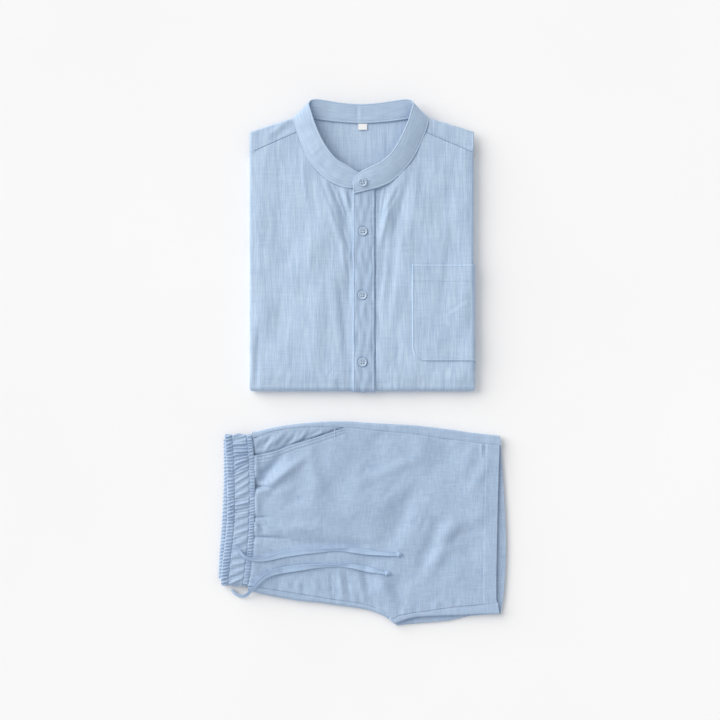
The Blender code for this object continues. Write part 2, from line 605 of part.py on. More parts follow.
def add_holes(name, finish):
    """Four prisms that cut a button's thread holes."""
    points, faces = [], []
    sides = 4
    for dx, dy in ((1, 1), (1, -1), (-1, -1), (-1, 1)):
        first = len(points)
        for z in (-2.0, 6.0):
            for i in range(sides):
                angle = 2 * math.pi * i / sides
                points.append((HOLE_SPREAD * dx + HOLE_R * math.cos(angle),
                               HOLE_SPREAD * dy + HOLE_R * math.sin(angle), z))
        faces.append(tuple(range(first + sides - 1, first - 1, -1)))
        faces.append(tuple(range(first + sides, first + 2 * sides)))
        for i in range(sides):
            a, b = first + i, first + (i + 1) % sides
            faces.append((a, b, b + sides, a + sides))
    cutter = add_solid(name, points, faces, finish)
    cutter.hide_render = True
    cutter.display_type = "WIRE"
    return cutter


def add_buttons(finish):
    """Four buttons: one on the collar's end and three down the placket."""
    bpy.context.view_layer.update()
    seats = [("collar_button", *COLLAR_BUTTON, bpy.data.objects["collar_band"])]
    seats += [(f"front_button_{i + 1}", BUTTON_X, y, bpy.data.objects["placket"])
              for i, y in enumerate(BUTTON_YS)]
    for name, x, y, under in seats:
        hit, place, normal, _ = under.ray_cast((x * MM, y * MM, 1.0), (0, 0, -1))
        add_button(name, place + normal * (GAP + 0.1) * MM, normal, finish)


def add_label(finish):
    """A small plain tab that hangs from the back neck seam."""
    x0, x1, y0, y1 = LABEL
    base = BACK_Z + CLOTH / 2 + GAP
    middle = np.array([[(x, y, base + 0.4) for x in (x0, x1)] for y in (y1, y0)])
    outer, inner = skins(middle, 0.8)
    add_wall("neck_label", outer, inner, finish)


def layer_outline(ring):
    """The closed outline of the shirt's hidden layers at one height."""
    fold_in = FOLD_Z - math.sqrt(max((SKIN - CLOTH / 2 - 2.6 * GAP) ** 2 - (ring.z - FOLD_Z) ** 2, 1.0))
    foot = HEM_Y + 2.0 if ring.zone == "head" else BOTTOM_Y + fold_in + 0.4
    in_turn = min(abs(ring.z - FOLD_Z + s * (SIDE_R + RETURN_RHO)) for s in (1, -1))
    tip = math.sqrt(max((SIDE_R - CLOTH / 2 - GAP) ** 2 - in_turn**2, 0))
    slotted = ring.zone.endswith("slot")
    head_in = 3.4 + ring.side_in
    head_y = YOKE_SEAM_LEFT[0][1] + 5 if slotted else HEM_Y + 1
    heights = [foot, HINGE_Y + 3, 20, 80, 140, BACK_END_Y - 8, HEM_Y - 1, head_y - 1, head_y + 2, 312]
    if ring.zone.startswith("trunk"):
        heights = [min(y, BACK_END_Y - 8) for y in heights]
    heights = [max(y, foot) for y in heights]
    outline = []
    for side in (-1, 1):
        line = []
        for i, y in enumerate(heights):
            edge = float(side_edge(side, y)) - CLOTH / 2 - SIDE_R
            inset = RETURN + 1.0 if slotted or i == 0 else -tip + ring.side_in
            if y > head_y and ring.zone != "narrow_slot":
                edge, inset = float(side_edge(side, y)), head_in
            line.append((side * (edge - inset), y, ring.z))
        outline.append(line)
    top = []
    for x in (-146, -120, -98, -60, 0, 53, 91, 113, 139):
        y = float(np.interp(x, [-160, -98.7, -80, 73, 91.7, 153], [323.9, 342.3, 346, 346, 342.3, 323.9]))
        y = min(y - 6.0 - ring.end_in, heights[-1] if ring.zone.startswith("trunk") else 400)
        top.append((x, y, ring.z))
    bottom = [(x, foot, ring.z) for x in (110, 60, 0, -60, -110)]
    return np.array([*outline[0], *top, *outline[1][::-1], *bottom])


def add_shirt_layers(finish):
    """The hidden layers: back, sleeves and side folds as one solid, with its layers showing at the edges."""
    add_rings("shirt_folded_layers", [layer_outline(ring) for ring in SHIRT_LAYERS], finish)


# Shorts

def body_top(x, y):
    """Height of the middle of the shorts' top wall."""
    edge = smooth_step(0, 26, y - read(UNDER_OUTLINE, x)) * smooth_step(0, 16, read(TOP_OUTLINE, x) - y)
    hem = smooth_step(4, 22, read(HEM_FRONT, y) - x)
    return read(TOP_LEVEL, x) + relief(SHORTS_CREASES, x, y) * edge * (0.25 + 0.75 * hem)


def add_shorts_front(finish):
    """The front of the top leg, from the waistband to the hem and from the pocket and side seam to the inseam."""
    share = np.linspace(0, 1, 26) ** 1.15
    across = np.array([0, 0.05, 0.1, 0.17, 0.24, 0.31, 0.38, 0.46, 0.54, 0.62, 0.70, 0.77, 0.84, 0.90, 0.95, 1.0])
    middle = np.zeros((len(share), len(across), 3))
    for j, a in enumerate(across):
        guess = -120 - 215 * a
        x0 = read(BAND_RIGHT, guess) + SEAM_CLEAR
        for _ in range(3):
            x1 = read(HEM_FRONT, guess)
            x = x0 + (x1 - x0) * share
            upper = np.where(x < POCKET_END_X, read(POCKET_MOUTH, x), read(SIDE_SEAM, x)) - GAP
            lower = read(FRONT_LOWER, x) + GAP + 1.2 * np.exp(-(((x - 34) / 16) ** 2))
            y = upper + (lower - upper) * a
            guess = y[-1]
            x0 = read(BAND_RIGHT, y[0]) + SEAM_CLEAR
        middle[:, j] = np.stack([x, y, body_top(x, y)], axis=-1)
    outer, inner = skins(middle, CLOTH)
    add_wall("shorts_front_panel", outer, inner, finish)


def back_section(x):
    """The back of the top leg at x: from the side seam over the fold, underneath, and up to the inseam."""
    top, low = float(read(TOP_LEVEL, x)), float(read(BACK_LEVEL, x))
    radius = (top - low) / 2
    seam, fold = float(read(SIDE_SEAM, x)), float(read(TOP_OUTLINE, x))
    centre = fold - CLOTH / 2 - radius
    points = [(min(seam + GAP, centre - 0.4), top)]
    points += [(centre + radius * math.sin(a), low + radius * (1 + math.cos(a)))
               for a in np.radians([0, 40, 80, 120, 160, 180])]
    edge = float(read(LEG_EDGE, max(x, LEG_EDGE[0][0])))
    end = edge + CLOTH / 2 + radius
    lower_seam = float(read(FRONT_LOWER, x)) - GAP
    turned = [(end - radius * math.sin(a), low + radius * (1 - math.cos(a)))
              for a in np.radians([0, 45, 90, 135, 180])]
    turned.append((max(lower_seam, end + 0.5), top))
    inner_end = float(read(FRONT_LOWER, x)) + BACK_TUCK
    small = radius - TUCK_FLATTEN / 2
    tucked = [(inner_end - small * math.sin(a), low + small * (1 - math.cos(a)))
              for a in np.radians([0, 45, 90, 135, 180])]
    tucked.append((inner_end + 1.2, low + 2 * small))
    out, up = float(smooth_step(*CROTCH, x)), float(smooth_step(CROTCH[1], CROTCH[1] + 6, x))
    close = [(a[0] + (b[0] - a[0]) * out, a[1] + (b[1] - a[1]) * up) for a, b in zip(tucked, turned)]
    for share in (0.2, 0.5, 0.8):
        points.append((centre + (close[0][0] - centre) * share, low))
    return points + close


def add_shorts_back(finish):
    """The back of the top leg: it shows along the side fold, beyond the inseam and inside the hem."""
    rows = []
    for x in [-151, -138, -120, -95, -66, -36, -8, 18, 34, 40, 46, 54, 64, 80, 104, 130, 152, 170, 182, 192]:
        section = back_section(x)
        rows.append([(x, y, z) for y, z in section])
    middle = np.array(rows)
    middle[0, :, 0] = read(BAND_RIGHT, middle[0, :, 1]) + SEAM_CLEAR
    middle[-1, :, 0] = read(HEM_BACK, middle[-1, :, 1])
    outer, inner = skins(middle, CLOTH)
    add_wall("shorts_back_panel", outer, inner, finish)


def add_facing(finish):
    """The pocket's facing: it shows between the side seam and the pocket mouth, then goes under the front."""
    rows = []
    for x in np.linspace(-151.0, POCKET_END_X + 2, 12):
        seam, mouth = float(read(SIDE_SEAM, x)) - GAP, float(read(POCKET_MOUTH, min(x, POCKET_END_X)))
        lower = mouth - FACING_UNDER
        level = float(read(TOP_LEVEL, x))
        row = []
        for share in (0, 0.2, 0.4, 0.6, 0.8, 1.0):
            y = seam + (lower - seam) * share
            drop = FACING_DROP * float(smooth_step(seam - 0.5, mouth + 2.0, y) if seam - 0.5 < mouth + 2
                                       else smooth_step(0, seam - mouth, seam - y))
            pucker = 0.5 * math.sin(0.28 * x + 0.5 * y) * math.sin(math.pi * share)
            row.append((x, y, level - drop - 0.35 + min(pucker, 0.1)))
        rows.append(row)
    middle = np.array(rows)
    middle[0, :, 0] = read(BAND_RIGHT, middle[0, :, 1]) + SEAM_CLEAR
    outer, inner = skins(middle, CLOTH)
    add_wall("pocket_facing", outer, inner, finish)


def add_other_front(finish):
    """The edge of the lower leg's front: it comes up round the centre-front edge to the seam."""
    rows = []
    for x in [-156, -140, -117, -90, -60, -30, -4, 14, 26, 35]:
        top, seam = float(read(TOP_LEVEL, x)), float(read(FRONT_LOWER, x)) - GAP
        radius = (top - CLOTH / 2) / 2
        centre = float(read(STACK_OUTLINE, x)) + CLOTH / 2 + radius
        lean = math.asin(np.clip((centre - seam) / radius, 0, 0.95))
        section = [(seam, CLOTH / 2 + radius * (1 + math.cos(lean)))] if seam < centre else [(seam, top)]
        for a in np.linspace(max(lean, 0.0) + 0.15, math.pi, 6):
            section.append((centre - radius * math.sin(a), CLOTH / 2 + radius * (1 + math.cos(a))))
        section.append((centre + 1.4, CLOTH / 2))
        rows.append([(x, y, z) for y, z in section])
    middle = np.array(rows)
    middle[0, :, 0] = read(BAND_RIGHT, middle[0, :, 1]) + SEAM_CLEAR
    outer, inner = skins(middle, CLOTH)
    add_wall("shorts_other_front", outer, inner, finish)


def band_profile():
    """The waistband's path in y and z with its outward normal, and how strongly it is gathered."""
    fold = BAND_FOLD_Y + BAND_THICK / 2 + BAND_R
    side = BAND_SIDE_Y - BAND_THICK / 2 - BAND_SIDE_R
    path = []
    path.append((side - 1.5, BAND_TOP_Z - 2 * BAND_SIDE_R, 0, -1, 0))
    for a in np.radians([180, 135, 90, 45]):
        path.append((side + BAND_SIDE_R * math.sin(a), BAND_TOP_Z - BAND_SIDE_R * (1 - math.cos(a)),
                     math.sin(a), math.cos(a), 0.3))
    count = GATHERS * GATHER_STEP
    for y in np.linspace(side, fold, count):
        path.append((y, BAND_TOP_Z, 0, 1, 1))
    for a in np.radians([18, 36, 54, 72, 90, 108, 126, 144, 162, 180]):
        path.append((fold - BAND_R * math.sin(a), BAND_THICK / 2 + BAND_R * (1 + math.cos(a)),
                     -math.sin(a), math.cos(a), max(math.cos(a / 2) ** 2 - 0.1, 0)))
    path.append((fold + BAND_UNDER, BAND_THICK / 2, 0, -1, 0))
    return np.array(path)


def add_waistband(finish):
    """The gathered front band; gathers are raised in its outer points over a plain inside."""
    path = band_profile()
    y, z, ny, nz, strength = path.T
    wave = np.array([1, -1])[np.arange(len(path)) % GATHER_STEP] * strength
    skins_made = []
    for skin in (1, -1):
        surface = np.zeros((len(path), len(BAND_COLUMNS), 3))
        for j, column in enumerate(BAND_COLUMNS):
            left, right = read(BAND_LEFT, y), read(BAND_RIGHT, y) - SEAM_CLEAR
            upper = np.clip(nz, 0, 1)
            rise = column.rise * upper + (wave * column.depth if skin > 0 else 0)
            off = skin * BAND_THICK / 2 + rise * (1 if skin > 0 else 0.6)
            surface[:, j] = np.stack([left + (right - left) * column.share, y + ny * off, z + nz * off], axis=1)
        skins_made.append(surface)
    add_wall("waistband_front", *skins_made, finish)


def add_inner_band(finish):
    """The back waistband's edge, which shows beside the front band's left edge."""
    count = INNER_GATHERS * GATHER_STEP
    y = np.linspace(*INNER_BAND_YS, count)
    wave = np.array([1, -1])[np.arange(count) % GATHER_STEP] * 0.45
    left = read(INNER_BAND_LEFT, y)
    outer = np.zeros((count, 3, 3))
    inner = np.zeros((count, 3, 3))
    for j, share in enumerate((0, 0.35, 1.0)):
        x = left + INNER_BAND_WIDTH * share
        bulge = INNER_BAND_BULGE[j]
        outer[:, j] = np.stack([x, y, INNER_BAND_Z + bulge + wave * (1 if j < 2 else 0)], axis=1)
        inner[:, j] = np.stack([x + (0.4 if j == 0 else 0), y, np.full(count, INNER_BAND_Z - bulge)], axis=1)
    add_wall("waistband_back", outer, inner, finish)


def shorts_ring(ring, scale_z):
    """The closed outline of the shorts' hidden layers at one height, starting at the waist and the side."""
    xs = [-150, -120, -80, -40, 0, 40, 80, 120, 160, 186]
    hem_ys = [-130, -180, -240, -300, -335]
    lower_xs = [178, 150, 120, 90, 60, 46, 37.5, 20, -20, -60, -100, -150]
    points = [(x, float(read(TOP_OUTLINE, x)) - 0.6 - ring.side_in) for x in xs]
    points += [(float(read(HEM_BACK, y)) - ring.hem_in, y) for y in hem_ys]
    for x in lower_xs:
        y = float(read(UNDER_OUTLINE, x)) + 0.6 + ring.side_in
        if x < 38:
            y = float(read(STACK_OUTLINE, x)) + 8.8 + ring.side_in * 0.5
        points.append((x, y))
    points.append((-152, -299 + ring.side_in * 0.5))
    left_ys = [-296, -270, -235, -200, -160, -125]
    points += [(float(read(INNER_BAND_LEFT, y)) + 1.2 + ring.band_in, y) for y in left_ys]
    points.append((-188 + ring.band_in, -109))
    points.append((-160, -106))
    return np.array([(x, y, ring.z * scale_z) for x, y in points])


def add_shorts_layers(finish):
    """The hidden leg and back bands as one solid with its layers showing at the edges."""
    rings = [shorts_ring(ring, 1.0) for ring in SHORTS_LAYERS]
    top = rings[-1].copy()
    for i, (x, y, _) in enumerate(top):
        top[i, 2] = float(read(BACK_LEVEL, max(x, -160))) - CLOTH / 2 - CORE_CLEAR
        if x < -160:
            top[i, 2] = 5.4
    inset = rings[-1].copy()
    centre = np.array([0, -215, 0])
    inset[:, :2] += (centre[:2] - inset[:, :2]) * 0.012
    inset[:, 2] = top[:, 2]
    rings.append(inset)
    add_rings("shorts_folded_layers", rings, finish)


def add_drawstring(name, route, finish):
    """One free end of the drawstring: a flat tape that follows its route."""
    line = spline(route, 6)
    length = np.concatenate([[0], np.cumsum(np.linalg.norm(np.diff(line[:, :3], axis=0), axis=1))])
    places = np.linspace(0, length[-1], int(length[-1] / STRING_STEP))
    line = np.stack([np.interp(places, length, line[:, k]) for k in range(4)], axis=1)
    resting = smooth_step(*STRING_LANDS, line[:, 0])
    rest_z = body_top(line[:, 0], line[:, 1]) + CLOTH / 2 + TAPE_THICK / 2 + STRING_CLEAR
    line[:, 2] += (rest_z - line[:, 2]) * resting
    curve = bpy.data.curves.new(name, "CURVE")
    curve.dimensions = "3D"
    curve.twist_mode = "Z_UP"
    curve.bevel_depth = TAPE_THICK / 2 * MM
    curve.extrude = (TAPE_WIDTH - TAPE_THICK) / 2 * MM
    curve.bevel_resolution = 1
    curve.use_fill_caps = True
    path = curve.splines.new("POLY")
    path.points.add(len(line) - 1)
    for point, (x, y, z, turn) in zip(path.points, line):
        point.co = (x * MM, y * MM, z * MM, 1)
        point.tilt = math.radians(90 + turn)
    curve.materials.append(finish)
    obj = bpy.data.objects.new(name, curve)
    obj.location = Vector(ORIGIN) * MM
    bpy.context.scene.collection.objects.link(obj)
    add_knot(name + "_knot", line[-1, :3], finish)


def add_knot(name, end, finish):
    """The overhand knot at a free end, as a small lumpy ball."""
    shape = bmesh.new()
    bmesh.ops.create_icosphere(shape, subdivisions=2, radius=KNOT_R * MM)
    for vertex in shape.verts:
        vertex.co.x *= 1.25
        vertex.co.z *= KNOT_FLAT
        vertex.co.y *= 0.95 + 0.12 * math.sin(vertex.co.x / MM * 1.3)
    mesh = bpy.data.meshes.new(name)
    shape.to_mesh(mesh)
    shape.free()
    mesh.materials.append(finish)
    mesh.shade_smooth()
    obj = bpy.data.objects.new(name, mesh)
    place = Vector(ORIGIN) + Vector(end) + Vector((KNOT_R * 1.25 + 0.5, 0, KNOT_LIFT))
    obj.location = place * MM
    bpy.context.scene.collection.objects.link(obj)


def build_shirt(cloth, plastic, tape):
    add_shirt_layers(cloth)
    add_fronts(cloth)
    add_yoke(cloth)
    add_placket(cloth)
    add_pocket(cloth)
    add_collar(cloth)
    add_label(tape)
    add_buttons(plastic)


def build_shorts(cloth):
    add_shorts_layers(cloth)
    add_shorts_back(cloth)
    add_shorts_front(cloth)
    add_facing(cloth)
    add_other_front(cloth)
    add_waistband(cloth)
    add_inner_band(cloth)
    for name, route in DRAWSTRINGS.items():
        add_drawstring(name, route, cloth)


def main():
    clear_scene()
    shirt_cloth = finish_material("shirt_cloth", (0.45, 0.58, 0.76), 0.9)
    shorts_cloth = finish_material("shorts_cloth", (0.42, 0.55, 0.73), 0.9)
    button_plastic = finish_material("button_plastic", (0.50, 0.63, 0.80), 0.35)
    label_tape = finish_material("label_tape", (0.9, 0.9, 0.9), 0.8)
    build_shirt(shirt_cloth, button_plastic, label_tape)
    build_shorts(shorts_cloth)


main()
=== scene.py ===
"""A folded light-blue band-collar shirt above drawstring shorts folded in half, seen from straight above.

Places are in millimetres in the CAD frame before ORIGIN is added, and meshes are in metres.
"""

import math
from collections import namedtuple

import bmesh
import bpy
import numpy as np
from mathutils import Matrix, Vector


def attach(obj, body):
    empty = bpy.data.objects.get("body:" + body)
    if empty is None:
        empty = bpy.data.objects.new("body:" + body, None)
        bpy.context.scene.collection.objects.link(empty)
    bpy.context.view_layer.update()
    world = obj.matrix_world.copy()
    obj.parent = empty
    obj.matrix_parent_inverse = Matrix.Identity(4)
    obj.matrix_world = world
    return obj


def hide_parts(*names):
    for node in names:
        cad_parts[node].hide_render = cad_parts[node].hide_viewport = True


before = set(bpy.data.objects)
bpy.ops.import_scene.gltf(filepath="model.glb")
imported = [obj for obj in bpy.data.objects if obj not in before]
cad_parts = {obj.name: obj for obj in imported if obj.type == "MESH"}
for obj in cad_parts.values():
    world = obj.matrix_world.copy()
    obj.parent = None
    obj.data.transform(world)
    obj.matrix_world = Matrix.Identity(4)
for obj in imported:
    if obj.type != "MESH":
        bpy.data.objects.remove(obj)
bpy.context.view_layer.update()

MM = 0.001
ORIGIN = np.array([2.0, -0.5, 0.0])
PIXEL = 1.4  # millimetres for each pixel of the photograph
VIEW_CENTRE = (-2.9, 3.0)
VIEW_Z = 12.0
LENS = 120.0
CLOTH = 1.2  # the frame's wall
PLY = 0.8  # the fine cloth, whose outer face lies in the frame's outer face
OUT = (CLOTH - PLY) / 2 - 0.02

# Shirt
FOLD_Z = 7.8
SKIN = FOLD_Z - CLOTH / 2
SIDE_R = 3.2
RETURN = 6.0
BOTTOM_Y = -40.3
HINGE_Y = BOTTOM_Y + FOLD_Z
HEM_Y = 288.0
CROWN = 1.8
LIFT = 1.55
LEFT_EDGE = -159.4
RIGHT_EDGE = [(-45, 156.4), (20, 154.6), (141, 154.2), (295, 154.2), (345, 153.4)]
FRONT_MEETING = 6.2
PLACKET = (-15.4, 16.0)
PLACKET_TOP = 238.6
PLACKET_END = math.radians(138)
BACK_Z = 10.6
BACK_END_Y = 226.0
YOKE_SEAM_LEFT = [(-155.6, 294.6), (-91.6, 323.0)]
YOKE_SEAM_RIGHT = [(84.6, 323.0), (150.9, 294.6)]
NECK_LEFT = [(-91.6, 323.0), (-83.6, 294.4), (-72.5, 276.6), (-54.6, 257.6), (-34.4, 246.8), (-14, 243.0)]
NECK_RIGHT = [(10.1, 241.6), (23.5, 245.3), (41.3, 254.2), (61.5, 274.4), (74.9, 294.4), (84.6, 323.0)]
NECK_TUCK = 2.6



def rows_of(kind, rows):
    return [kind(*row) for row in rows]


Crease = namedtuple("Crease", "x0 y0 x1 y1 width height")
SHIRT_CREASES = rows_of(Crease, [
    (-42, 252, -17, 178, 5.5, -1.3), (-31, 249, -19, 212, 3.6, 0.7), (-58, 262, -19, 138, 7.0, 0.9),
    (-22, 120, -24, -10, 6.0, -0.6), (22, 243, 20, 176, 4.2, -1.1), (44, 252, 18, 150, 6.5, 1.1),
    (58, 250, 22, 96, 9.0, -0.8), (30, 90, 24, -20, 7.5, 0.7), (-114, 290, -118, 0, 13.0, -0.65),
    (-60, 300, -62, -40, 28.0, 1.15), (50, 260, 52, -30, 22.0, 0.85), (116, 290, 118, -30, 18.0, -0.70),
])
SHIRT_FINE = rows_of(Crease, [
    (-49, 254, -28, 207, 1.9, -1.0), (-36, 246, -19, 196, 1.8, -1.1), (-44, 251, -23, 200, 1.8, 0.8),
    (-62, 264, -38, 196, 2.6, -0.7), (-21, 243, -18.6, 220, 1.4, -0.7), (-27, 242, -18.4, 214, 1.6, 0.7),
    (-30, 190, -19, 152, 2.2, -0.8), (-54, 238, -27, 150, 3.2, 0.6), (-33, 168, -20, 108, 3.0, 0.5),
    (-21, 148, -20, 84, 2.2, -0.5), (26, 246, 22, 182, 1.8, 0.7), (33, 249, 22, 190, 2.0, -0.8),
    (51, 247, 26, 200, 2.6, -0.7), (40, 240, 25, 168, 2.6, 0.6), (66, 270, 40, 170, 4.5, -0.6),
    (78, 282, 62, 168, 5.0, 0.5), (-92, 318, -86, 240, 3.4, -0.5), (-88, 296, -78, 205, 3.0, 0.45),
    (-74, 272, -62, 180, 3.2, -0.45), (-52, 150, -50, -20, 5.0, -0.35), (-66, 120, -70, -25, 6.0, 0.4),
    (120, 250, 128, 150, 7.0, -0.35), (116, 68, 150, 92, 2.6, -0.32), (114, 63, 148, 86, 2.6, 0.28),
    (-150, -38, -146, 60, 3.6, -0.9), (40, 215, 30, 120, 4.0, 0.6), (52, 200, 36, 100, 4.5, -0.6),
    (36, 150, 22, 60, 3.6, 0.6), (46, 140, 27, 40, 4.4, -0.55), (-34, 120, -24, 20, 3.6, -0.5),
    (-44, 130, -32, 10, 4.2, 0.5), (52, 110, 50, -15, 5.0, -0.35), (-148, 250, -147, 60, 4.0, 0.35),
])
BOLD_GAIN = 1.9
FINE_GAIN = 1.7
CREASE_CLEAR = (16.0, 24.0)
FINE_CLEAR = (16.4, 19.0)

CollarRow = namedtuple("CollarRow", "seam_x seam_y seam_z top_x top_y top_z")
COLLAR = rows_of(CollarRow, [
    (-2.0, 243.6, 18.0, 3.0, 263.0, 19.6), (-18.9, 243.4, 17.8, -8.6, 266.4, 21.0),
    (-34.4, 246.8, 17.6, -21.1, 274.4, 22.6), (-54.6, 257.6, 17.4, -38.0, 284.6, 24.2),
    (-72.5, 276.6, 17.2, -49.6, 298.4, 25.4), (-83.6, 294.4, 17.0, -58.6, 313.0, 26.2),
    (-93.7, 322.3, 16.9, -67.4, 333.2, 26.4), (-98.0, 337.4, 16.7, -73.1, 350.7, 25.6),
    (-97.6, 343.4, 14.6, -76.0, 361.0, 23.6), (-90.0, 345.2, 12.6, -73.8, 366.1, 21.2),
    (-78.0, 342.6, 12.2, -66.8, 368.1, 19.2), (-55.3, 338.8, 12.2, -53.0, 366.8, 17.4),
    (-30.1, 336.2, 12.2, -31.0, 363.5, 16.4), (-3.5, 334.8, 12.2, -3.5, 361.6, 16.0),
    (23.0, 336.0, 12.2, 24.0, 363.6, 16.4), (48.3, 338.6, 12.2, 46.0, 366.8, 17.4),
    (71.0, 342.2, 12.2, 59.8, 368.1, 19.2), (83.0, 344.4, 12.6, 66.8, 366.0, 21.2),
    (90.4, 342.4, 14.6, 69.0, 360.6, 23.6), (91.0, 336.6, 16.7, 66.3, 350.7, 25.6),
    (87.1, 322.3, 16.9, 60.6, 333.2, 26.4), (74.9, 294.4, 17.0, 50.4, 311.5, 26.2),
    (61.5, 274.4, 17.3, 38.6, 293.0, 25.6), (41.3, 254.2, 18.0, 23.5, 280.0, 24.8),
    (23.5, 245.3, 19.2, 10.5, 273.6, 24.0), (6.0, 240.6, 19.9, -1.0, 268.2, 23.2),
    (-7.4, 237.2, 20.0, -7.4, 263.4, 22.6), (-11.2, 236.2, 20.0, -12.2, 258.6, 22.2),
    (-13.4, 235.8, 20.0, -15.4, 251.0, 21.6),
])
COLLAR_KINKS = [(168, -1), (172.5, 0.8), (246, -1), (250, 0.7), (92, 0.4)]  # mm along the seam, strength
COLLAR_BOW = 1.1
COLLAR_PLY = 1.2
COLLAR_ROWS = 12
COLLAR_COLUMNS = 38

YokeRow = namedtuple("YokeRow", "neck_x neck_y outer_x outer_y z")
YOKE_Z = 15.0
YOKE_FRONT = rows_of(YokeRow, [
    (-91.6, 323.6, -159.4, 295.2, 15.0), (-95.0, 331.0, -159.4, 304.5, 15.0),
    (-99.4, 337.6, -159.4, 315.0, 15.0),
])
SHOULDER = [(-160.0, 323.9), (-98.7, 342.3)]
SHOULDER_R = (YOKE_Z - BACK_Z) / 2
SHOULDER_NECK_X = -100.2
SHOULDER_END_X = -153.0
YOKE_INSIDE = rows_of(YokeRow, [
    (-100.0, 334.0, -150.0, 300.0, BACK_Z), (-92.0, 341.0, -149.0, 262.0, BACK_Z),
    (-74.0, 342.2, -140.0, BACK_END_Y, BACK_Z), (-52.0, 339.6, -92.0, BACK_END_Y, BACK_Z),
    (-28.0, 337.2, -44.0, BACK_END_Y, BACK_Z), (-3.5, 336.4, -3.5, BACK_END_Y, BACK_Z),
])
YOKE_MIRROR_X = -3.5
YOKE_STRETCH_X = 93.0
YOKE_STRETCH = 0.0387
YOKE_CREASES = rows_of(Crease, [
    (-104, 340, -136, 314, 3.2, 0.9), (-96, 336, -128, 309, 4.4, -0.9), (-116, 338, -150, 318, 5.0, -0.4),
    (96, 338, 132, 312, 4.5, 0.5), (90, 332, 122, 306, 4.5, -0.5),
])
INSIDE_CREASES = rows_of(Crease, [
    (-60, 300, 10, 262, 12.0, -0.5), (30, 330, 44, 262, 7.0, -0.5), (-20, 300, -8, 240, 5.0, 0.4),
])

BUTTON_R = 6.0
# Radius and height along the button's outline
BUTTON_PROFILE = [(0, 0.6), (4.6, 0.6), (5.5, 0.85), (5.95, 1.3), (6.0, 1.75), (5.85, 2.2), (5.45, 2.45),
                  (5.0, 2.42), (4.5, 2.15), (4.1, 1.8), (3.7, 1.7), (3.3, 1.76), (2.9, 1.9), (0, 1.95)]
BUTTON_X = -1.0
BUTTON_YS = [183.3, 94.1, 0.4]
COLLAR_BUTTON = (-1.6, 251.6)
BUTTON_SINK = 0.9
BUTTON_PULL = 7.4
BUTTON_GROOVE = 0.8
HOLE_R = 0.85
HOLE_SPREAD = 1.6
POCKET_LEFT = 67.5
POCKET_TOP = 137.1
POCKET_HEM_Y = 113.3
POCKET_BOTTOM = 2.1
POCKET_CORNER = 20.0
LABEL = (-7.3, 5.0, 325.6, 334.2)
Layer = namedtuple("Layer", "low high inset seed")
# Share of a layer's height and how far its edge stands in there
LAYER_ROUND = [(0.0, 0.9), (0.12, 0.35), (0.35, 0.05), (0.65, 0.05), (0.88, 0.35), (1.0, 0.9)]
SHIRT_FOOT = HINGE_Y + 2.5
SHIRT_STACK = [(-156.6, SHIRT_FOOT), (-157.0, 100), (-157.0, 200), (-157.0, 296), (-156.6, 314),
               (-146, 319.4), (-120, 327.2), (-98, 333.6), (-60, 337.0), (0, 336.4), (53, 337.0), (92, 333.0),
               (116, 326.4), (141, 318.6), (150.6, 313.0), (151.4, 296), (151.6, 200), (151.8, 100),
               (152.8, SHIRT_FOOT), (80, SHIRT_FOOT), (0, SHIRT_FOOT), (-80, SHIRT_FOOT)]
SHIRT_LAYERS = rows_of(Layer, [
    (1.7, 3.3, 1.6, 51), (3.3, 4.6, 0.9, 52), (4.6, 6.0, 1.8, 53), (6.5, 7.7, 10.6, 54), (7.7, 9.0, 10.0, 55),
])
UNDER_LAYERS = rows_of(Layer, [(0.0, 1.3, 0.2, 57)])
INNER_LAYERS = rows_of(Layer, [(9.4, 11.4, 3.0, 58), (11.4, 13.4, 3.4, 59)])
SHORTS_LAYERS = rows_of(Layer, [(0.0, 1.5, 0.3, 81), (1.5, 2.8, 0.9, 82), (2.8, 3.9, 0.5, 83)])

# Shorts
TOP_OUTLINE = [(-160, -99.6), (-133, -92.5), (-104, -87.5), (-66, -83.6), (-27, -82.4), (18, -85.2),
               (70, -88.1), (115, -93.2), (152, -98.3), (198, -103.4)]
SIDE_SEAM = [(-160, -109.2), (-134, -98.7), (-115, -93.8), (-90, -91.0), (-63, -90.2), (-27, -91.0),
             (8, -94.4), (49, -98.0), (100, -104.6), (164, -113.3), (198, -117.0)]
POCKET_MOUTH = [(-160, -131.6), (-125.6, -124.6), (-98.8, -114.7), (-72.1, -106.7), (-42.0, -96.6),
                (-28.0, -91.8)]
POCKET_END_X = -28.0
FRONT_LOWER = [(-160, -313.0), (-138.2, -316.5), (-90, -324.5), (-43.5, -332.0), (-4.9, -337.4),
               (20, -345.0), (34, -353.2), (42.0, -358.6), (50.8, -354.6), (71.3, -350.8),
               (95.5, -347.5), (125.6, -343.1), (153.3, -340.8), (190, -336.4)]
LEG_EDGE = [(44, -366.6), (55.6, -361.9), (73.8, -357.2), (107.5, -355.3), (131.6, -354.6),
            (169, -352.9), (192, -352.9)]
STACK_OUTLINE = [(-160, -319.6), (-143.5, -324.5), (-117, -329.8), (-90, -334.3), (-63, -337.0),
                 (-33, -341.2), (-2, -345.4), (20.3, -351.8), (33.9, -358.8), (43, -366.8)]
UNDER_OUTLINE = [(-160, -319.6), (-117, -329.8), (-63, -337.0), (-2, -343.0), (20.3, -350.0),
                 (33.9, -357.2), (46.1, -368.2), (59.2, -366.5), (83.3, -364.3), (107.5, -362.5),
                 (131.6, -358.8), (154.4, -353.6), (200, -351.0)]
HEM_FRONT = [(-356, 191.4), (-336, 187.2), (-323, 186.0), (-251, 186.9), (-169, 188.9), (-100, 191.2)]
HEM_BACK = [(-356, 191.8), (-323, 196.7), (-272, 199.5), (-231, 199.2), (-169, 196.1), (-116, 192.6),
            (-100, 191.4)]
HEM_X = 188.0
HEM_STITCH_X = 169.4
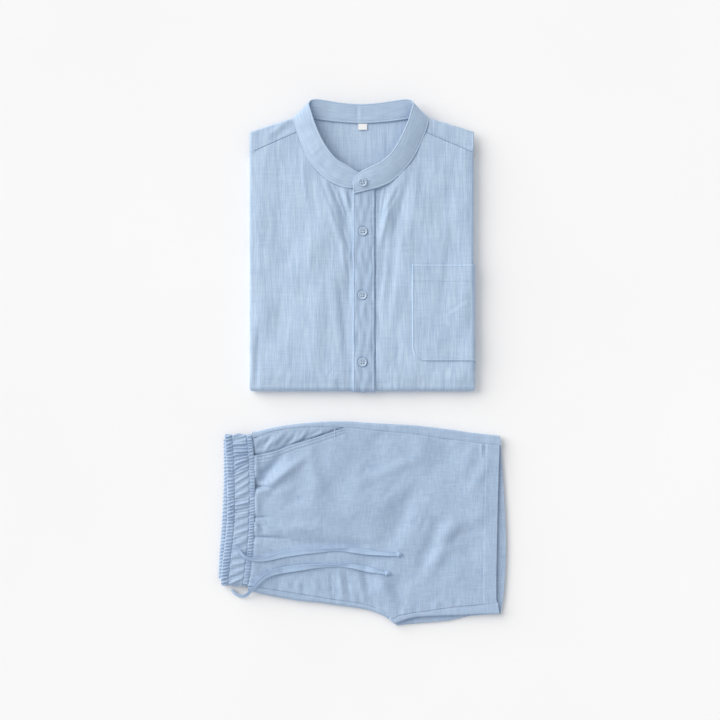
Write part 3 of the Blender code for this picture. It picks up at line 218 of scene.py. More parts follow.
HEM_WIDTH = HEM_X - HEM_STITCH_X
FLY_STITCH = [(-48.0, -299.0), (-44.0, -304.0), (-41.4, -312.0), (-40.8, -323.0), (-42.0, -334.0)]
BAND_RIGHT = [(-330, -163.4), (-313, -161.3), (-281, -156.8), (-245, -153.3), (-174, -151.5),
              (-129, -153.3), (-95, -156.6)]
TOP_LEVEL = [(-160, 11.6), (-120, 12.0), (-60, 11.4), (20, 10.2), (100, 8.9), (200, 7.9)]
BACK_LEVEL = [(-160, 6.6), (-60, 6.2), (60, 5.3), (200, 4.6)]
CROTCH = (34.4, 36.2)
CROTCH_CAP = [(0.6, 0.92), (1.2, 0.68), (1.6, 0.30)]  # mm further along, share of the roll left
BACK_TUCK = 44.0
TUCK_FLATTEN = 2.2
FACING_DROP = 2.0
EDGE_FALL = 3.0
FALL_REACH = 62.0
FACING_UNDER = 9.0
BAND_TUCK = 1.6
SHORTS_CREASES = rows_of(Crease, [
    (-160, -181, -108, -124, 6.8, -3.5), (-148, -184, -80, -131, 6.6, 2.9),
    (-152, -128, -151, -172, 4.5, 1.4), (-152, -177, -150, -214, 5.0, 1.3),
    (-151, -217, -150, -241, 4.0, 1.0), (-131, -250, 20, -259, 7.5, -1.7),
    (-142, -234, -46, -231, 8.0, 1.2), (-150, -286, -30, -300, 12.0, -1.0),
    (-104, -215, 40, -190, 22.0, 1.3), (66, -178, 49, -254, 9.0, -1.3), (112, -208, 72, -306, 9.0, -1.3),
    (122, -225, 86, -312, 9.5, 1.0), (-60, -150, -20, -215, 16.0, -1.0), (-20, -130, 60, -160, 18.0, -0.9),
    (140, -140, 150, -300, 14.0, -0.7), (10, -280, 44, -345, 8.0, 1.2), (28, -290, 62, -345, 7.0, -1.0),
])
SHORTS_FINE = rows_of(Crease, [
    (-157, -128, -139, -124, 1.8, -1.8), (-168, -173.6, -128, -174.4, 1.9, -3.4),
    (-152, -180, -128, -184, 4.0, 0.9), (-164, -215.6, -128, -217, 1.6, -2.0),
    (-156, -217, -138, -238, 1.8, -1.7), (-144, -218, -132, -234, 1.8, 0.8),
    (-164, -242.7, -104, -247, 2.0, -2.3), (-152, -250, -126, -262, 3.0, 1.0),
    (-130, -188, -94, -174, 6.0, 0.9), (-110, -198, -70, -187, 6.0, -0.8),
    (-150, -268, -120, -266, 2.2, -0.6), (-140, -282, -120, -296, 4.0, 0.9),
    (-150, -300, -118, -312, 3.2, 0.7), (-46, -292, -44, -334, 1.6, -1.2),
    (-35, -288, -28, -334, 3.0, 1.5), (-26, -286, -18, -332, 2.4, -1.4), (-10, -292, 2, -336, 3.4, 1.3),
    (-2, -286, 10, -326, 3.0, -1.1), (-70, -300, -60, -328, 4.0, 0.9), (-88, -302, -80, -326, 4.0, -0.9),
    (-110, -300, -104, -322, 3.0, 0.8), (165.0, -108, 165.6, -134, 1.4, 0.7),
    (170.0, -108, 170.6, -132, 1.3, -0.6),
])
SHORTS_BOLD_GAIN = 1.6
SHORTS_FINE_GAIN = 1.3
FACING_GAIN = 1.2
FACING_CREASES = rows_of(Crease, [
    (-150, -124, -127, -104, 4.0, -1.5), (-138, -121, -112, -98, 4.6, 1.9),
    (-120, -124, -92, -103, 3.6, -1.6), (-106, -118, -78, -99, 4.2, 1.3), (-96, -117, -66, -96, 3.4, -1.2),
    (-84, -110, -48, -95, 3.0, 0.9), (-152, -108, -134, -104, 3.0, 1.0),
])

BAND_WIDTH = 40
BAND_THICK = 1.6
SEAM_CLEAR = 0.18
BAND_TOP_Z = 12.6
BAND_R = (BAND_TOP_Z - BAND_THICK / 2) / 2
BAND_SIDE_R = 2.3
BAND_FOLD_Y = -312.6
BAND_SIDE_Y = -100.4
BAND_LEFT = [(-330, -198.4), (-310, -199.5), (-299, -199.8), (-272, -197.0), (-245, -193.5),
             (-209, -190.8), (-156, -191.7), (-120, -193.5), (-95, -194.8)]
INNER_BAND_LEFT = [(-330, -202.0), (-308, -201.7), (-299, -203.1), (-263, -201.3), (-218, -198.0),
                   (-174, -196.1), (-138, -195.6), (-95, -196.0)]
INNER_BAND_Z = 7.9
INNER_BAND_WIDTH = 16.0
INNER_BAND_YS = (-107.6, -303.0)
GATHER_PITCH = 4.7
Channel = namedtuple("Channel", "start end pitch gather swell lean loose")  # shares of the width, then mm
CHANNELS = [
    Channel(0.00, 0.27, 4.6, 1.65, 0.50, (-0.1, 0.35), False),
    Channel(0.27, 0.80, 4.9, 1.65, 0.80, (-0.1, 0.60), True),
    Channel(0.80, 1.00, 4.2, 1.20, 0.30, (-0.3, 0.3), False),
]

# Drawstring, with the route's points as in the frame
TAPE_WIDTH = 6.8
TAPE_THICK = 1.0
TAPE_BOW = -0.35
StringPoint = namedtuple("StringPoint", "x y z turn wide")
DRAWSTRINGS = {
    "drawstring_upper": rows_of(StringPoint, [
        (-180.5, -259.6, 17.8, 60, 0.6), (-175.6, -260.4, 18.4, 64, 0.8), (-171.2, -265.6, 18.4, 56, 0.9),
        (-166.0, -271.4, 17.8, 42, 0.9), (-156.0, -274.6, 16.6, 24, 0.9), (-143.5, -275.6, 15.2, 10, 0.9),
        (-129.0, -272.8, 15.0, 6, 1.15), (-112.0, -268.4, 14.9, 2, 1.35), (-88.9, -265.0, 14.6, 0, 1.3),
        (-60.0, -263.0, 14.0, 14, 0.9), (-36.3, -261.7, 13.6, 26, 0.7), (-16.1, -262.6, 13.2, -6, 1.1),
        (4.9, -265.6, 12.8, -8, 1.15), (25.9, -268.0, 12.4, -16, 0.75), (46.0, -269.0, 12.1, 0, 0.6),
    ]),
    "drawstring_lower": rows_of(StringPoint, [
        (-184.6, -318.6, 3.4, 60, 0.8), (-180.6, -323.8, 3.2, 50, 0.8), (-173.4, -327.4, 4.4, 40, 0.8),
        (-165.4, -326.4, 8.6, 34, 0.8), (-158.4, -320.4, 13.2, 26, 0.8), (-151.0, -311.6, 16.2, 20, 0.85),
        (-141.0, -301.6, 16.0, 14, 1.0), (-129.0, -295.0, 15.2, 8, 1.2), (-112.0, -290.8, 14.9, 4, 1.35),
        (-88.9, -287.2, 14.4, 4, 1.3), (-64.0, -285.0, 13.9, 20, 0.85), (-36.4, -283.9, 13.4, 30, 0.6),
        (-16.1, -285.2, 13.1, -8, 0.9), (4.0, -289.2, 12.8, -10, 1.15), (29.6, -294.6, 12.3, 0, 0.6),
    ]),
}
STRING_LANDS = (-148.0, -120.0)
STRING_CLEAR = 0.15
KNOT_R = 3.4
KNOT_RISE = 0.7

# Stitching
STITCH = 2.5
STITCH_STEP = 3.4
STITCH_R = 0.24
# Share along a stitch, share of its radius there, and rise in mm
STITCH_SHAPE = [(0, 0.3, -0.25), (0.2, 0.9, 0), (0.5, 1, 0.06), (0.8, 0.9, 0), (1, 0.3, -0.25)]
MOUTH_STITCH = 8.4
SEAM_STITCHES = [  # from x, to x, the seam, the distance over it
    (-150, POCKET_END_X, POCKET_MOUTH, -MOUTH_STITCH), (-36, 184, SIDE_SEAM, -1.7),
    (-154, 39, FRONT_LOWER, 2.0), (45.5, 182, FRONT_LOWER, 2.0),
]
HALF_TURN = np.radians(np.arange(0, 181, 15))

# Colours and light
SHIRT_BLUE = (0.445, 0.572, 0.738)
SHORTS_BLUE = (0.385, 0.502, 0.670)
# The placket is the same cloth as the fronts; this darker blue is painted shade, for the hollow the strip
# lies in.
PLACKET_SHADED_BLUE = (0.388, 0.505, 0.674)  # the strip looks darker than the fronts
TIE_BLUE = (0.385, 0.515, 0.705)
# The thread is real, and made lighter than the cloth to paint the highlights on its stitches.
THREAD_HIGHLIGHT_BLUE = (0.520, 0.640, 0.800)
# Dark blue for the fly's thread, and also painted shade: the dark tube in the neck seam's crease and the
# buttonhole's slit.
DARK_THREAD_AND_SHADE_BLUE = (0.250, 0.365, 0.530)
# Pale blue for tubes along the collar's edges, a painted highlight where the rolled edges catch the light.
EDGE_HIGHLIGHT_BLUE = (0.600, 0.710, 0.850)
BUTTON_BLUE = (0.445, 0.555, 0.695)
DYE_SPREAD = (1.3, 1.0, 0.7)  # share of the contrast in red, green and blue: dark yarns are bluer
WARP = (900.0, 40.0, 40.0)  # noise scales that draw slubs along Y
WEFT = (40.0, 900.0, 40.0)
Weave = namedtuple("Weave", "name colour warp weft slub cross contrast place")
WEAVES = rows_of(Weave, [
    ("shirt_weave", SHIRT_BLUE, WARP, WEFT, 0.31, 0.44, 0.175, "Object"),
    # The placket's weave takes the darker blue, painted shade.
    ("placket_shaded_weave", PLACKET_SHADED_BLUE, WARP, WEFT, 0.31, 0.44, 0.17, "Object"),
    ("shorts_weave", SHORTS_BLUE, (820, 70, 80), (60, 820, 80), 0.27, 0.9, 0.145, "Object"),
    ("tie_weave", TIE_BLUE, (60, 500, 60), (500, 60, 60), 0.22, 0.7, 0.08, "Object"),
    ("collar_weave", SHIRT_BLUE, WARP, WEFT, 0.30, 0.40, 0.15, "UV"),
])
LABEL_WHITE = (0.86, 0.87, 0.88)
Grain = namedtuple("Grain", "name colour roughness speckle scale specular")
GRAINS = rows_of(Grain, [
    # The thread's grain is lightened to paint stitch highlights.
    ("thread", THREAD_HIGHLIGHT_BLUE, 0.7, 0.1, 900, 0.4),
    # Dark thread for the fly, and also painted shade in the neck seam and the buttonhole slit.
    ("dark_thread_and_painted_shade", DARK_THREAD_AND_SHADE_BLUE, 0.8, 0.1, 900, 0.4),
    # Painted highlight along the collar's edges.
    ("painted_edge_highlight", EDGE_HIGHLIGHT_BLUE, 0.8, 0.1, 900, 0.4),
    ("button_resin", BUTTON_BLUE, 0.32, 0.06, 260, 0.5),
    ("label_weave", LABEL_WHITE, 0.85, 0.05, 1500, 0.4),
])
KEY_FROM = (-0.765, 0.487, 0.423)  # the light's direction, from the upper left
KEY_SPREAD = math.radians(60)
KEY_STRENGTH = 3.12
KEY_COLOUR = (1.0, 0.955, 0.905)
SKY_STRENGTH = 0.622
SKY_COLOUR = (0.945, 0.970, 1.0)
FLOOR_WHITE = (0.94, 0.94, 0.945)
FLOOR_HALF = 6.0  # metres
FLOOR_Z = -0.0002


# Reading tables

def smooth_step(low, high, value):
    t = np.clip((np.asarray(value, float) - low) / (high - low), 0, 1)
    return t * t * (3 - 2 * t)


def spline(points, per_span):
    """A smooth line through the points, with per_span steps between each two."""
    p = np.array(points, float)
    p = np.vstack([2 * p[0] - p[1], p, 2 * p[-1] - p[-2]])
    t = np.arange(per_span)[:, None] / per_span
    spans = []
    for a, b, c, d in zip(p, p[1:], p[2:], p[3:]):
        spans.append(0.5 * (2 * b + (c - a) * t + (2 * a - 5 * b + 4 * c - d) * t**2
                            + (3 * b - a - 3 * c + d) * t**3))
    return np.vstack([*spans, p[-2:-1]])


def read(table, value):
    """The second column of a table, read smoothly at values of its first."""
    line = spline(table, 8)
    return np.interp(value, line[:, 0], line[:, 1])


def unit(vectors):
    return vectors / np.maximum(np.linalg.norm(vectors, axis=-1, keepdims=True), 1e-9)


def run_of(line):
    """The way from the line's start to each of its points."""
    return np.concatenate([[0], np.cumsum(np.linalg.norm(np.diff(line, axis=0), axis=1))])


def grid(*values):
    """Points whose coordinates broadcast over rows and columns."""
    return np.stack(np.broadcast_arrays(*values), axis=-1)


def steps(*spans):
    """Rising shares from spans of low, high and count."""
    return np.unique(np.concatenate([np.linspace(*span) for span in spans]))


def offset_line(points, distance):
    """The line moved sideways, to the left of its direction."""
    p = np.array(points, float)
    along = unit(np.gradient(p, axis=0))
    return p + distance * np.stack([-along[:, 1], along[:, 0]], axis=1)


def relief(creases, x, y):
    """Height that soft ridges and troughs add at x, y; each fades towards its two ends."""
    total = np.zeros(np.broadcast(x, y).shape)
    for c in creases:
        dx, dy = c.x1 - c.x0, c.y1 - c.y0
        length = math.hypot(dx, dy)
        share = ((x - c.x0) * dx + (y - c.y0) * dy) / length**2
        off = ((x - c.x0) * dy - (y - c.y0) * dx) / length
        fade = np.sin(np.pi * np.clip(share, 0, 1)) ** 0.8
        total += c.height * fade * np.exp(-((off / c.width) ** 2))
    return total


def scattered(seed, count, box, lengths, widths, height, headings):
    """Seeded short creases inside a box, at headings in degrees from the X axis."""
    rng = np.random.default_rng(seed)
    creases = []
    for _ in range(count):
        x, y = rng.uniform(box[0], box[1]), rng.uniform(box[2], box[3])
        half = rng.uniform(*lengths) / 2
        heading = math.radians(rng.uniform(*headings))
        dx, dy = half * math.cos(heading), half * math.sin(heading)
        size = height * rng.uniform(0.3, 1.0) * rng.choice([-1, 1])
        creases.append(Crease(x - dx, y - dy, x + dx, y + dy, rng.uniform(*widths), size))
    return creases


def ripples(x, y, seed, count, wave_x, wave_y, height):
    """A seeded sum of long soft waves whose lengths along x and y lie in the two given ranges."""
    rng = np.random.default_rng(seed)
    total = np.zeros(np.broadcast(x, y).shape)
    for _ in range(count):
        kx = 2 * np.pi / rng.uniform(*wave_x)
        ky = 2 * np.pi / rng.uniform(*wave_y) * rng.choice([-1, 1])
        total += np.sin(kx * x + ky * y + rng.uniform(0, 2 * np.pi))
    return height * total / math.sqrt(count)


def dip(value, centre, width):
    return np.exp(-(((value - centre) / width) ** 2))


# Materials

def set_inputs(node, **values):
    for key, value in values.items():
        node.inputs[key.replace("_", " ")].default_value = value
    return node


def add_node(tree, kind, **values):
    return set_inputs(tree.nodes.new(kind), **values)


def noise(tree, coordinates, scale, detail, low, high):
    """A stretched noise between low and high."""
    mapping = add_node(tree, "ShaderNodeMapping", Scale=scale)
    texture = add_node(tree, "ShaderNodeTexNoise", Scale=1.0, Detail=detail)
    spread = add_node(tree, "ShaderNodeMapRange", From_Min=0.3, From_Max=0.7, To_Min=low, To_Max=high)
    tree.links.new(coordinates, mapping.inputs["Vector"])
    tree.links.new(mapping.outputs["Vector"], texture.inputs["Vector"])
    tree.links.new(texture.outputs["Fac"], spread.inputs["Value"])
    return spread.outputs["Result"]


def total_of(tree, first, *others):
    for other in others:
        add = add_node(tree, "ShaderNodeMath")
        tree.links.new(first, add.inputs[0])
        tree.links.new(other, add.inputs[1])
        first = add.outputs["Value"]
    return first


def new_material(name):
    material = bpy.data.materials.new(name)
    material.use_nodes = True
    return material, material.node_tree, material.node_tree.nodes["Principled BSDF"]


def link_surface(tree, shader, tone, dark, light, height, strength, distance):
    """Colours the shader from dark to light by tone, and raises its grain by height."""
    ramp = add_node(tree, "ShaderNodeValToRGB")
    ramp.color_ramp.elements[0].color = (*dark, 1)
    ramp.color_ramp.elements[1].color = (*light, 1)
    bump = add_node(tree, "ShaderNodeBump", Strength=strength, Distance=distance)
    tree.links.new(tone, ramp.inputs["Fac"])
    tree.links.new(ramp.outputs["Color"], shader.inputs["Base Color"])
    tree.links.new(height, bump.inputs["Height"])
    tree.links.new(bump.outputs["Normal"], shader.inputs["Normal"])


def cloth_material(name, colour, warp, weft, slub, cross, contrast, place):
    """Slub-woven cotton and linen: thick and thin yarns run both ways over a fine weave.

    place is Object, or UV for a piece whose weave follows its flat cloth.
    """
    material, tree, shader = new_material(name)
    place = add_node(tree, "ShaderNodeTexCoord").outputs[place]
    long_yarn = noise(tree, place, warp, 4, -slub, slub)
    cross_yarn = noise(tree, place, weft, 4, -slub * cross, slub * cross)
    thick_yarn = noise(tree, place, [s * 0.5 for s in warp], 2, -slub * 0.2, slub * 0.2)
    cloudy = noise(tree, place, (16, 16, 16), 2, -0.05, 0.05)
    weave = noise(tree, place, (1400, 1400, 1400), 1, -0.25, 0.25)
    tone = add_node(tree, "ShaderNodeMath")
    tone.inputs[1].default_value = 0.5
    tree.links.new(total_of(tree, long_yarn, cross_yarn, thick_yarn, cloudy), tone.inputs[0])
    dark = [c * (1 - contrast * share) for c, share in zip(colour, DYE_SPREAD)]
    light = [min(c * (1 + contrast * share) + 0.01, 1) for c, share in zip(colour, DYE_SPREAD)]
    height = total_of(tree, long_yarn, cross_yarn, weave)
    link_surface(tree, shader, tone.outputs["Value"], dark, light, height, 0.55, 0.00022)
    tree.links.new(noise(tree, place, warp, 2, 0.82, 0.95), shader.inputs["Roughness"])
    set_inputs(shader, Sheen_Weight=0.04, Sheen_Roughness=0.5, Specular_IOR_Level=0.25)
    return material


def plain_material(name, colour, roughness, speckle, scale, specular):
    """A fine-grained surface whose colour varies a little."""
    material, tree, shader = new_material(name)
    place = add_node(tree, "ShaderNodeTexCoord").outputs["Object"]
    grain = noise(tree, place, (scale, scale, scale), 3, 0.0, 1.0)
    dark = [c * (1 - speckle) for c in colour]
    light = [min(c * (1 + speckle), 1) for c in colour]
    link_surface(tree, shader, grain, dark, light, grain, 0.2, 0.0001)
    set_inputs(shader, Roughness=roughness, Specular_IOR_Level=specular)
    return material


# Meshes

def new_object(name, data):
    obj = bpy.data.objects.new(name, data)
    bpy.context.scene.collection.objects.link(obj)
    return obj


def add_piece(name, points, faces, material, slot, nodes=(), spots=None):
    """One mesh piece from points in millimetres; it rides on the root body and stands for the nodes.

    spots are the points' places on the flat cloth, for a weave that follows a curved strip.
    """
    mesh = bpy.data.meshes.new(name)
    mesh.from_pydata([tuple(p) for p in (np.asarray(points) + ORIGIN) * MM], [], faces)
    if spots is not None:
        corners = np.zeros(len(mesh.loops), int)
        mesh.loops.foreach_get("vertex_index", corners)
        mesh.uv_layers.new(name="cloth").data.foreach_set("uv", (spots[corners] * MM).ravel())
    shape = bmesh.new()
    shape.from_mesh(mesh)
    bmesh.ops.remove_doubles(shape, verts=shape.verts, dist=0.002 * MM)
    bmesh.ops.dissolve_degenerate(shape, edges=shape.edges, dist=0.001 * MM)
    bmesh.ops.recalc_face_normals(shape, faces=shape.faces)
    shape.to_mesh(mesh)
    shape.free()
    mesh.materials.append(material)
    mesh.shade_smooth()
    mesh.set_sharp_from_angle(angle=math.radians(75))
    obj = new_object(name, mesh)
    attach(obj, "root")
    if nodes:
        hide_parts(*nodes)
    return obj


def wall_parts(outer, inner):
    """Points and faces of a closed wall between two skins."""
    rows, columns = outer.shape[:2]
    count = rows * columns
    first = (np.arange(rows - 1)[:, None] * columns + np.arange(columns - 1)[None, :]).ravel()
    quads = np.stack([first, first + 1, first + columns + 1, first + columns], axis=1)
    faces = np.vstack([quads, count + quads[:, ::-1]]).tolist()
    rim = [*range(columns), *range(2 * columns - 1, count, columns),
           *range(count - 2, count - columns - 1, -1), *range(count - 2 * columns, 0, -columns)]
    faces += [(b, a, count + a, count + b) for a, b in zip(rim, rim[1:] + rim[:1])]
    return np.concatenate([outer.reshape(-1, 3), inner.reshape(-1, 3)]), faces


def add_wall(name, outer, inner, material, slot, nodes=(), spots=None):
    points, faces = wall_parts(outer, inner)
    return add_piece(name, points, faces, material, slot, nodes, spots)


def normals(middle, up=None):
    """Unit normals of a surface; with up they are turned to that side."""
    normal = unit(np.cross(np.gradient(middle, axis=1), np.gradient(middle, axis=0)))
    if up is not None:
        normal *= np.where((normal * up).sum(axis=2, keepdims=True) < 0, -1, 1)
    return normal


def cloth_size(middle):
    """The cut's width, length and area in metres, measured along the middle of the cloth."""
    across = np.linalg.norm(np.diff(middle, axis=1), axis=2).sum(axis=1).max()
    down = np.linalg.norm(np.diff(middle, axis=0), axis=2).sum(axis=0).max()
    a, b = middle[1:, 1:] - middle[:-1, :-1], middle[1:, :-1] - middle[:-1, 1:]
    area = np.linalg.norm(np.cross(a, b), axis=2).sum() / 2
    return across * MM, down * MM, area * MM**2


def declare_sheet(piece, middle):
    width, length, area = cloth_size(middle)
    area = min(max(area, 0.3 * width * length), width * length)
    print(f"sheet {piece.name}: {width * 1000:.0f} x {length * 1000:.0f} mm, {area * 10000:.0f} cm2")


def add_ply(name, node, middle, normal, material, slot, half=PLY / 2):
    """Cloth to both sides of its middle surface, declared as a folded sheet."""
    piece = add_wall(name, middle + normal * half, middle - normal * half, material, slot, [node])
    declare_sheet(piece, middle)


def add_loft(points, faces, rings):
    """Adds rings of as many points each, joined one after another and closed at both ends."""
    first, sides = len(points), len(rings[0])
    for ring in rings:
        points.extend(ring)
    for level in range(len(rings) - 1):
        for i in range(sides):
            a, b = first + level * sides + i, first + level * sides + (i + 1) % sides
            faces.append((a, b, b + sides, a + sides))
    faces.append(tuple(range(first + sides - 1, first - 1, -1)))
    faces.append(tuple(range(len(points) - sides, len(points))))


def ring_of(centre, side, rise, radius, sides):
    angles = 2 * np.pi * np.arange(sides) / sides
    return [centre + radius * (math.cos(a) * side + math.sin(a) * rise) for a in angles]


def tubes(lines, radius, sides=6):
    """Points and faces of round tubes along lines, closed at both ends."""
    points, faces = [], []
    for line in lines:
        p = np.asarray(line, float)
        along = np.gradient(p, axis=0)
        side = unit(np.cross(along, (0, 0, 1.0)))
        rise = unit(np.cross(side, along))
        add_loft(points, faces, [ring_of(*place, radius, sides) for place in zip(p, side, rise)])
    return points, faces


def joined(first, second):
    """Two sets of points and faces as one."""
    shift = len(first[0])
    return first[0] + second[0], first[1] + [tuple(i + shift for i in face) for face in second[1]]


def stitches(lines):
    """Points and faces of small thread dashes along lines of x, y, z."""
    points, faces = [], []
    shares, sizes, rises = np.array(STITCH_SHAPE, float).T
    for line in lines:
        p = np.asarray(line, float)
        run = run_of(p)
        for k in range(int((run[-1] - STITCH) / STITCH_STEP) + 1):
            stations = k * STITCH_STEP + 0.3 + STITCH * shares
            centres = np.stack([np.interp(stations, run, p[:, i]) for i in range(3)], axis=1)
            centres[:, 2] += rises
            along = centres[-1] - centres[0]
            side = unit(np.cross(along, (0, 0, 1)))
            rise = unit(np.cross(side, along))
            rings = [ring_of(c, side, rise, size, 6) for c, size in zip(centres, STITCH_R * sizes)]
            add_loft(points, faces, rings)
    return points, faces


# Shirt

SHIRT_SCATTER = scattered(5, 100, (-152, 152, -30, 330), (40, 150), (2.4, 6.0), 0.32, (80, 100))
FOOT_SCATTER = scattered(6, 60, (-150, 150, -38, -4), (10, 40), (1.4, 3.2), 0.50, (60, 120))


def side_edge(side, y):
    right = np.interp(y, *zip(*RIGHT_EDGE))
    return np.where(np.asarray(side) < 0, -LEFT_EDGE, right)


def shirt_relief(x, y):
    """Crown, folds and fine creases of the fronts; the placket lies flat over them."""
    reach = np.abs(x)
    bold = BOLD_GAIN * relief(SHIRT_CREASES, x, y) * smooth_step(*CREASE_CLEAR, reach)
    fine = FINE_GAIN * relief(SHIRT_FINE, x, y) + relief(SHIRT_SCATTER, x, y) + relief(FOOT_SCATTER, x, y)
    fine += ripples(x, y, 3, 12, (10, 28), (50, 200), 0.12)
    fine += ripples(x, y, 4, 9, (36, 90), (50, 160), 0.60)
    beside = x - PLACKET[1]
    ridge = (0.60 * dip(beside, 3.2, 1.3) - 1.1 * dip(beside, 0.2, 1.4)) * smooth_step(-38, -20, y)
    flat = smooth_step(*FINE_CLEAR, reach)
    valley = -1.1 * smooth_step(12, 17, reach) * dip(reach, 16, 13)
    slope = -0.9 * smooth_step(136, 158, reach) ** 2 - 1.9 * smooth_step(-16, -34, y) ** 1.5
    return CROWN * (1 - (x / 160) ** 2) + bold + fine * flat + ridge + slope + valley


def plan_y(y_flat):
    past = np.maximum(HINGE_Y - y_flat, 0)
    return np.maximum(y_flat, HINGE_Y) + np.maximum(past - np.pi * SKIN, 0)


def shirt_sheet(across, y_flat, lift):
    """Points of the front cloth, turned in at both sides and rolled under at the bottom."""
    across, y_flat, lift = np.broadcast_arrays(np.asarray(across, float), np.asarray(y_flat, float),
                                               np.asarray(lift, float))
    roll = np.clip((HINGE_Y - y_flat) / SKIN, 0, np.pi)
    plan = plan_y(y_flat)
    side, reach = np.sign(across), np.abs(across)
    start = side_edge(side, plan) - CLOTH / 2 - SIDE_R
    over = np.maximum(reach - start, 0)
    turn = np.clip(over / SIDE_R, 0, np.pi)
    back = np.maximum(over - np.pi * SIDE_R, 0)
    x = side * (np.minimum(reach, start) + SIDE_R * np.sin(turn) - back)
    rho = SKIN - SIDE_R * (1 - np.cos(turn))
    rho = rho + shirt_relief(x, plan) * np.clip(np.cos(turn), 0, 1) * np.clip(np.cos(roll), 0, 1)
    x = x + lift * side * np.sin(turn)
    rho = rho + lift * np.cos(turn)
    y = plan - rho * np.sin(roll)
    return np.stack([x, y, FOLD_Z + rho * np.cos(roll)], axis=-1)


def add_shirt_ply(node, columns, rows, lift, cloth):
    """Cloth at a lift over the fronts' surface, declared as a sheet."""
    outer, inner = shirt_sheet(columns, rows, lift + PLY / 2), shirt_sheet(columns, rows, lift - PLY / 2)
    piece = add_wall(node + "_cloth", outer, inner, cloth, "shirt_cloth", [node])
    declare_sheet(piece, shirt_sheet(columns, rows, lift))


def turned_under(y):
    return HINGE_Y - math.pi * SKIN - (y - HINGE_Y)


def turn_columns(side, rows, angles, beyond=None):
    start = side_edge(side, plan_y(rows)) - CLOTH / 2 - SIDE_R
    steps = SIDE_R * np.radians(angles)
    if beyond is not None:
        steps = np.append(steps, steps[-1] + np.asarray(beyond))
    return side * (start[:, None] + steps[None, :])


def add_fronts(cloth):
    """Both front panels, from the neck and the yoke seams round the bottom fold to the hem underneath."""
    neck_left = offset_line(spline(NECK_LEFT, 6), NECK_TUCK)
    neck_right = offset_line(spline(NECK_RIGHT, 6), NECK_TUCK)
    edge_left = [*YOKE_SEAM_LEFT, *neck_left[1:], (FRONT_MEETING, neck_left[-1][1])]
    edge_right = [(FRONT_MEETING, neck_right[0][1]), *neck_right[:-1], *YOKE_SEAM_RIGHT]
    turns = np.arange(0, 181, 15)
    for name, side, inner_x, edge in (("front_right_panel", -1, 6.0, edge_left),
                                      ("front_left_panel", 1, 6.4, edge_right)):
        line = np.array(edge, float)
        reach = side * (float(side_edge(side, 295)) - CLOTH / 2 - SIDE_R)
        near = np.arange(inner_x, 30 * side, 1.3 * side)
        flat = [*near, *np.linspace(30 * side, reach - side * 1.6, 64)]
        top = np.interp([*flat, *[reach] * (len(turns) + 3)], line[:, 0], line[:, 1]) - 0.1
        share = np.linspace(0, 1, 176)[:, None]
        knee = HINGE_Y + 2
        upper = top[None, :] + (knee - top[None, :]) * share
        rest = [*(HINGE_Y - SKIN * HALF_TURN)]
        rest += [turned_under(y) for y in np.linspace(-20, HEM_Y, 18)]
        rows = np.vstack([upper, np.repeat(np.array(rest)[:, None], len(top), axis=1)])
        turned = turn_columns(side, rows[:, -1], turns, [2, 4, RETURN])
        columns = np.hstack([np.repeat([flat], len(rows), axis=0), turned])
        add_shirt_ply(name, columns, rows, OUT, cloth)


def placket_lift(columns, rows):
    """The strip's folded edges stand up a little and its stitch lines pull in."""
    left, right = columns - PLACKET[0], PLACKET[1] - columns
    lift = 0.30 * dip(left, 2.0, 1.0) + 0.75 * dip(right, 1.1, 1.0)
    lift = lift - 0.45 * (dip(left, 3.6, 0.8) + dip(right, 3.8, 0.8))
    lift = lift - 0.95 * smooth_step(1.9, 0.0, left) - 0.45 * smooth_step(0.7, 0.0, right)
    edges = dip(left, 2, 2.5) + dip(right, 3, 2.5)
    pulled = ripples(rows, rows * 0, 9, 6, (7, 26), (900, 901), 0.16) * edges
    for y in BUTTON_YS:
        away = np.hypot(columns - BUTTON_X, rows - y)
        lift = lift - BUTTON_SINK * dip(away, 0, BUTTON_PULL) - BUTTON_GROOVE * dip(away, BUTTON_R + 0.3, 1.1)
    return lift + ripples(columns, rows, 8, 7, (8, 20), (24, 120), 0.32) + pulled


def placket_sway(rows):
    """Sideways wander of the strip's edges, which eases off at the bottom."""
    return ripples(rows, rows * 0, 10, 6, (14, 60), (900, 901), 0.30) * smooth_step(HINGE_Y, -10, rows)


def add_placket(cloth):
    """The button strip, round the bottom fold to its end underneath."""
    columns = np.array([*np.arange(PLACKET[0], -11, 0.45), *np.arange(-11, 10.5, 0.7),
                        *np.arange(10.6, PLACKET[1] + 0.1, 0.45)])
    top = PLACKET_TOP + 0.16 * (columns - PLACKET[0])
    rows = top[None, :] + (HINGE_Y - top[None, :]) * np.linspace(0, 1, 280)[:, None]
    rolled = HINGE_Y - SKIN * PLACKET_END * np.linspace(0.08, 1, 12)
    rows = np.vstack([rows, np.repeat(rolled[:, None], len(columns), axis=1)])
    lift = LIFT + OUT + placket_lift(columns[None, :], rows)
    swayed = columns[None, :] + placket_sway(rows)
    add_shirt_ply("placket", swayed, rows, lift, cloth)


def placket_top(x, y):
    """The point on the placket's face over x, y."""
    x, y = np.asarray(x, float), np.asarray(y, float)
    lift = LIFT + OUT + PLY / 2 + placket_lift(x, y)
    return shirt_sheet(x + placket_sway(y), y, lift)


def pocket_left(y):
    drop = np.clip(POCKET_BOTTOM + POCKET_CORNER - y, 0, POCKET_CORNER)
    return POCKET_LEFT + POCKET_CORNER - np.sqrt(POCKET_CORNER**2 - drop**2)


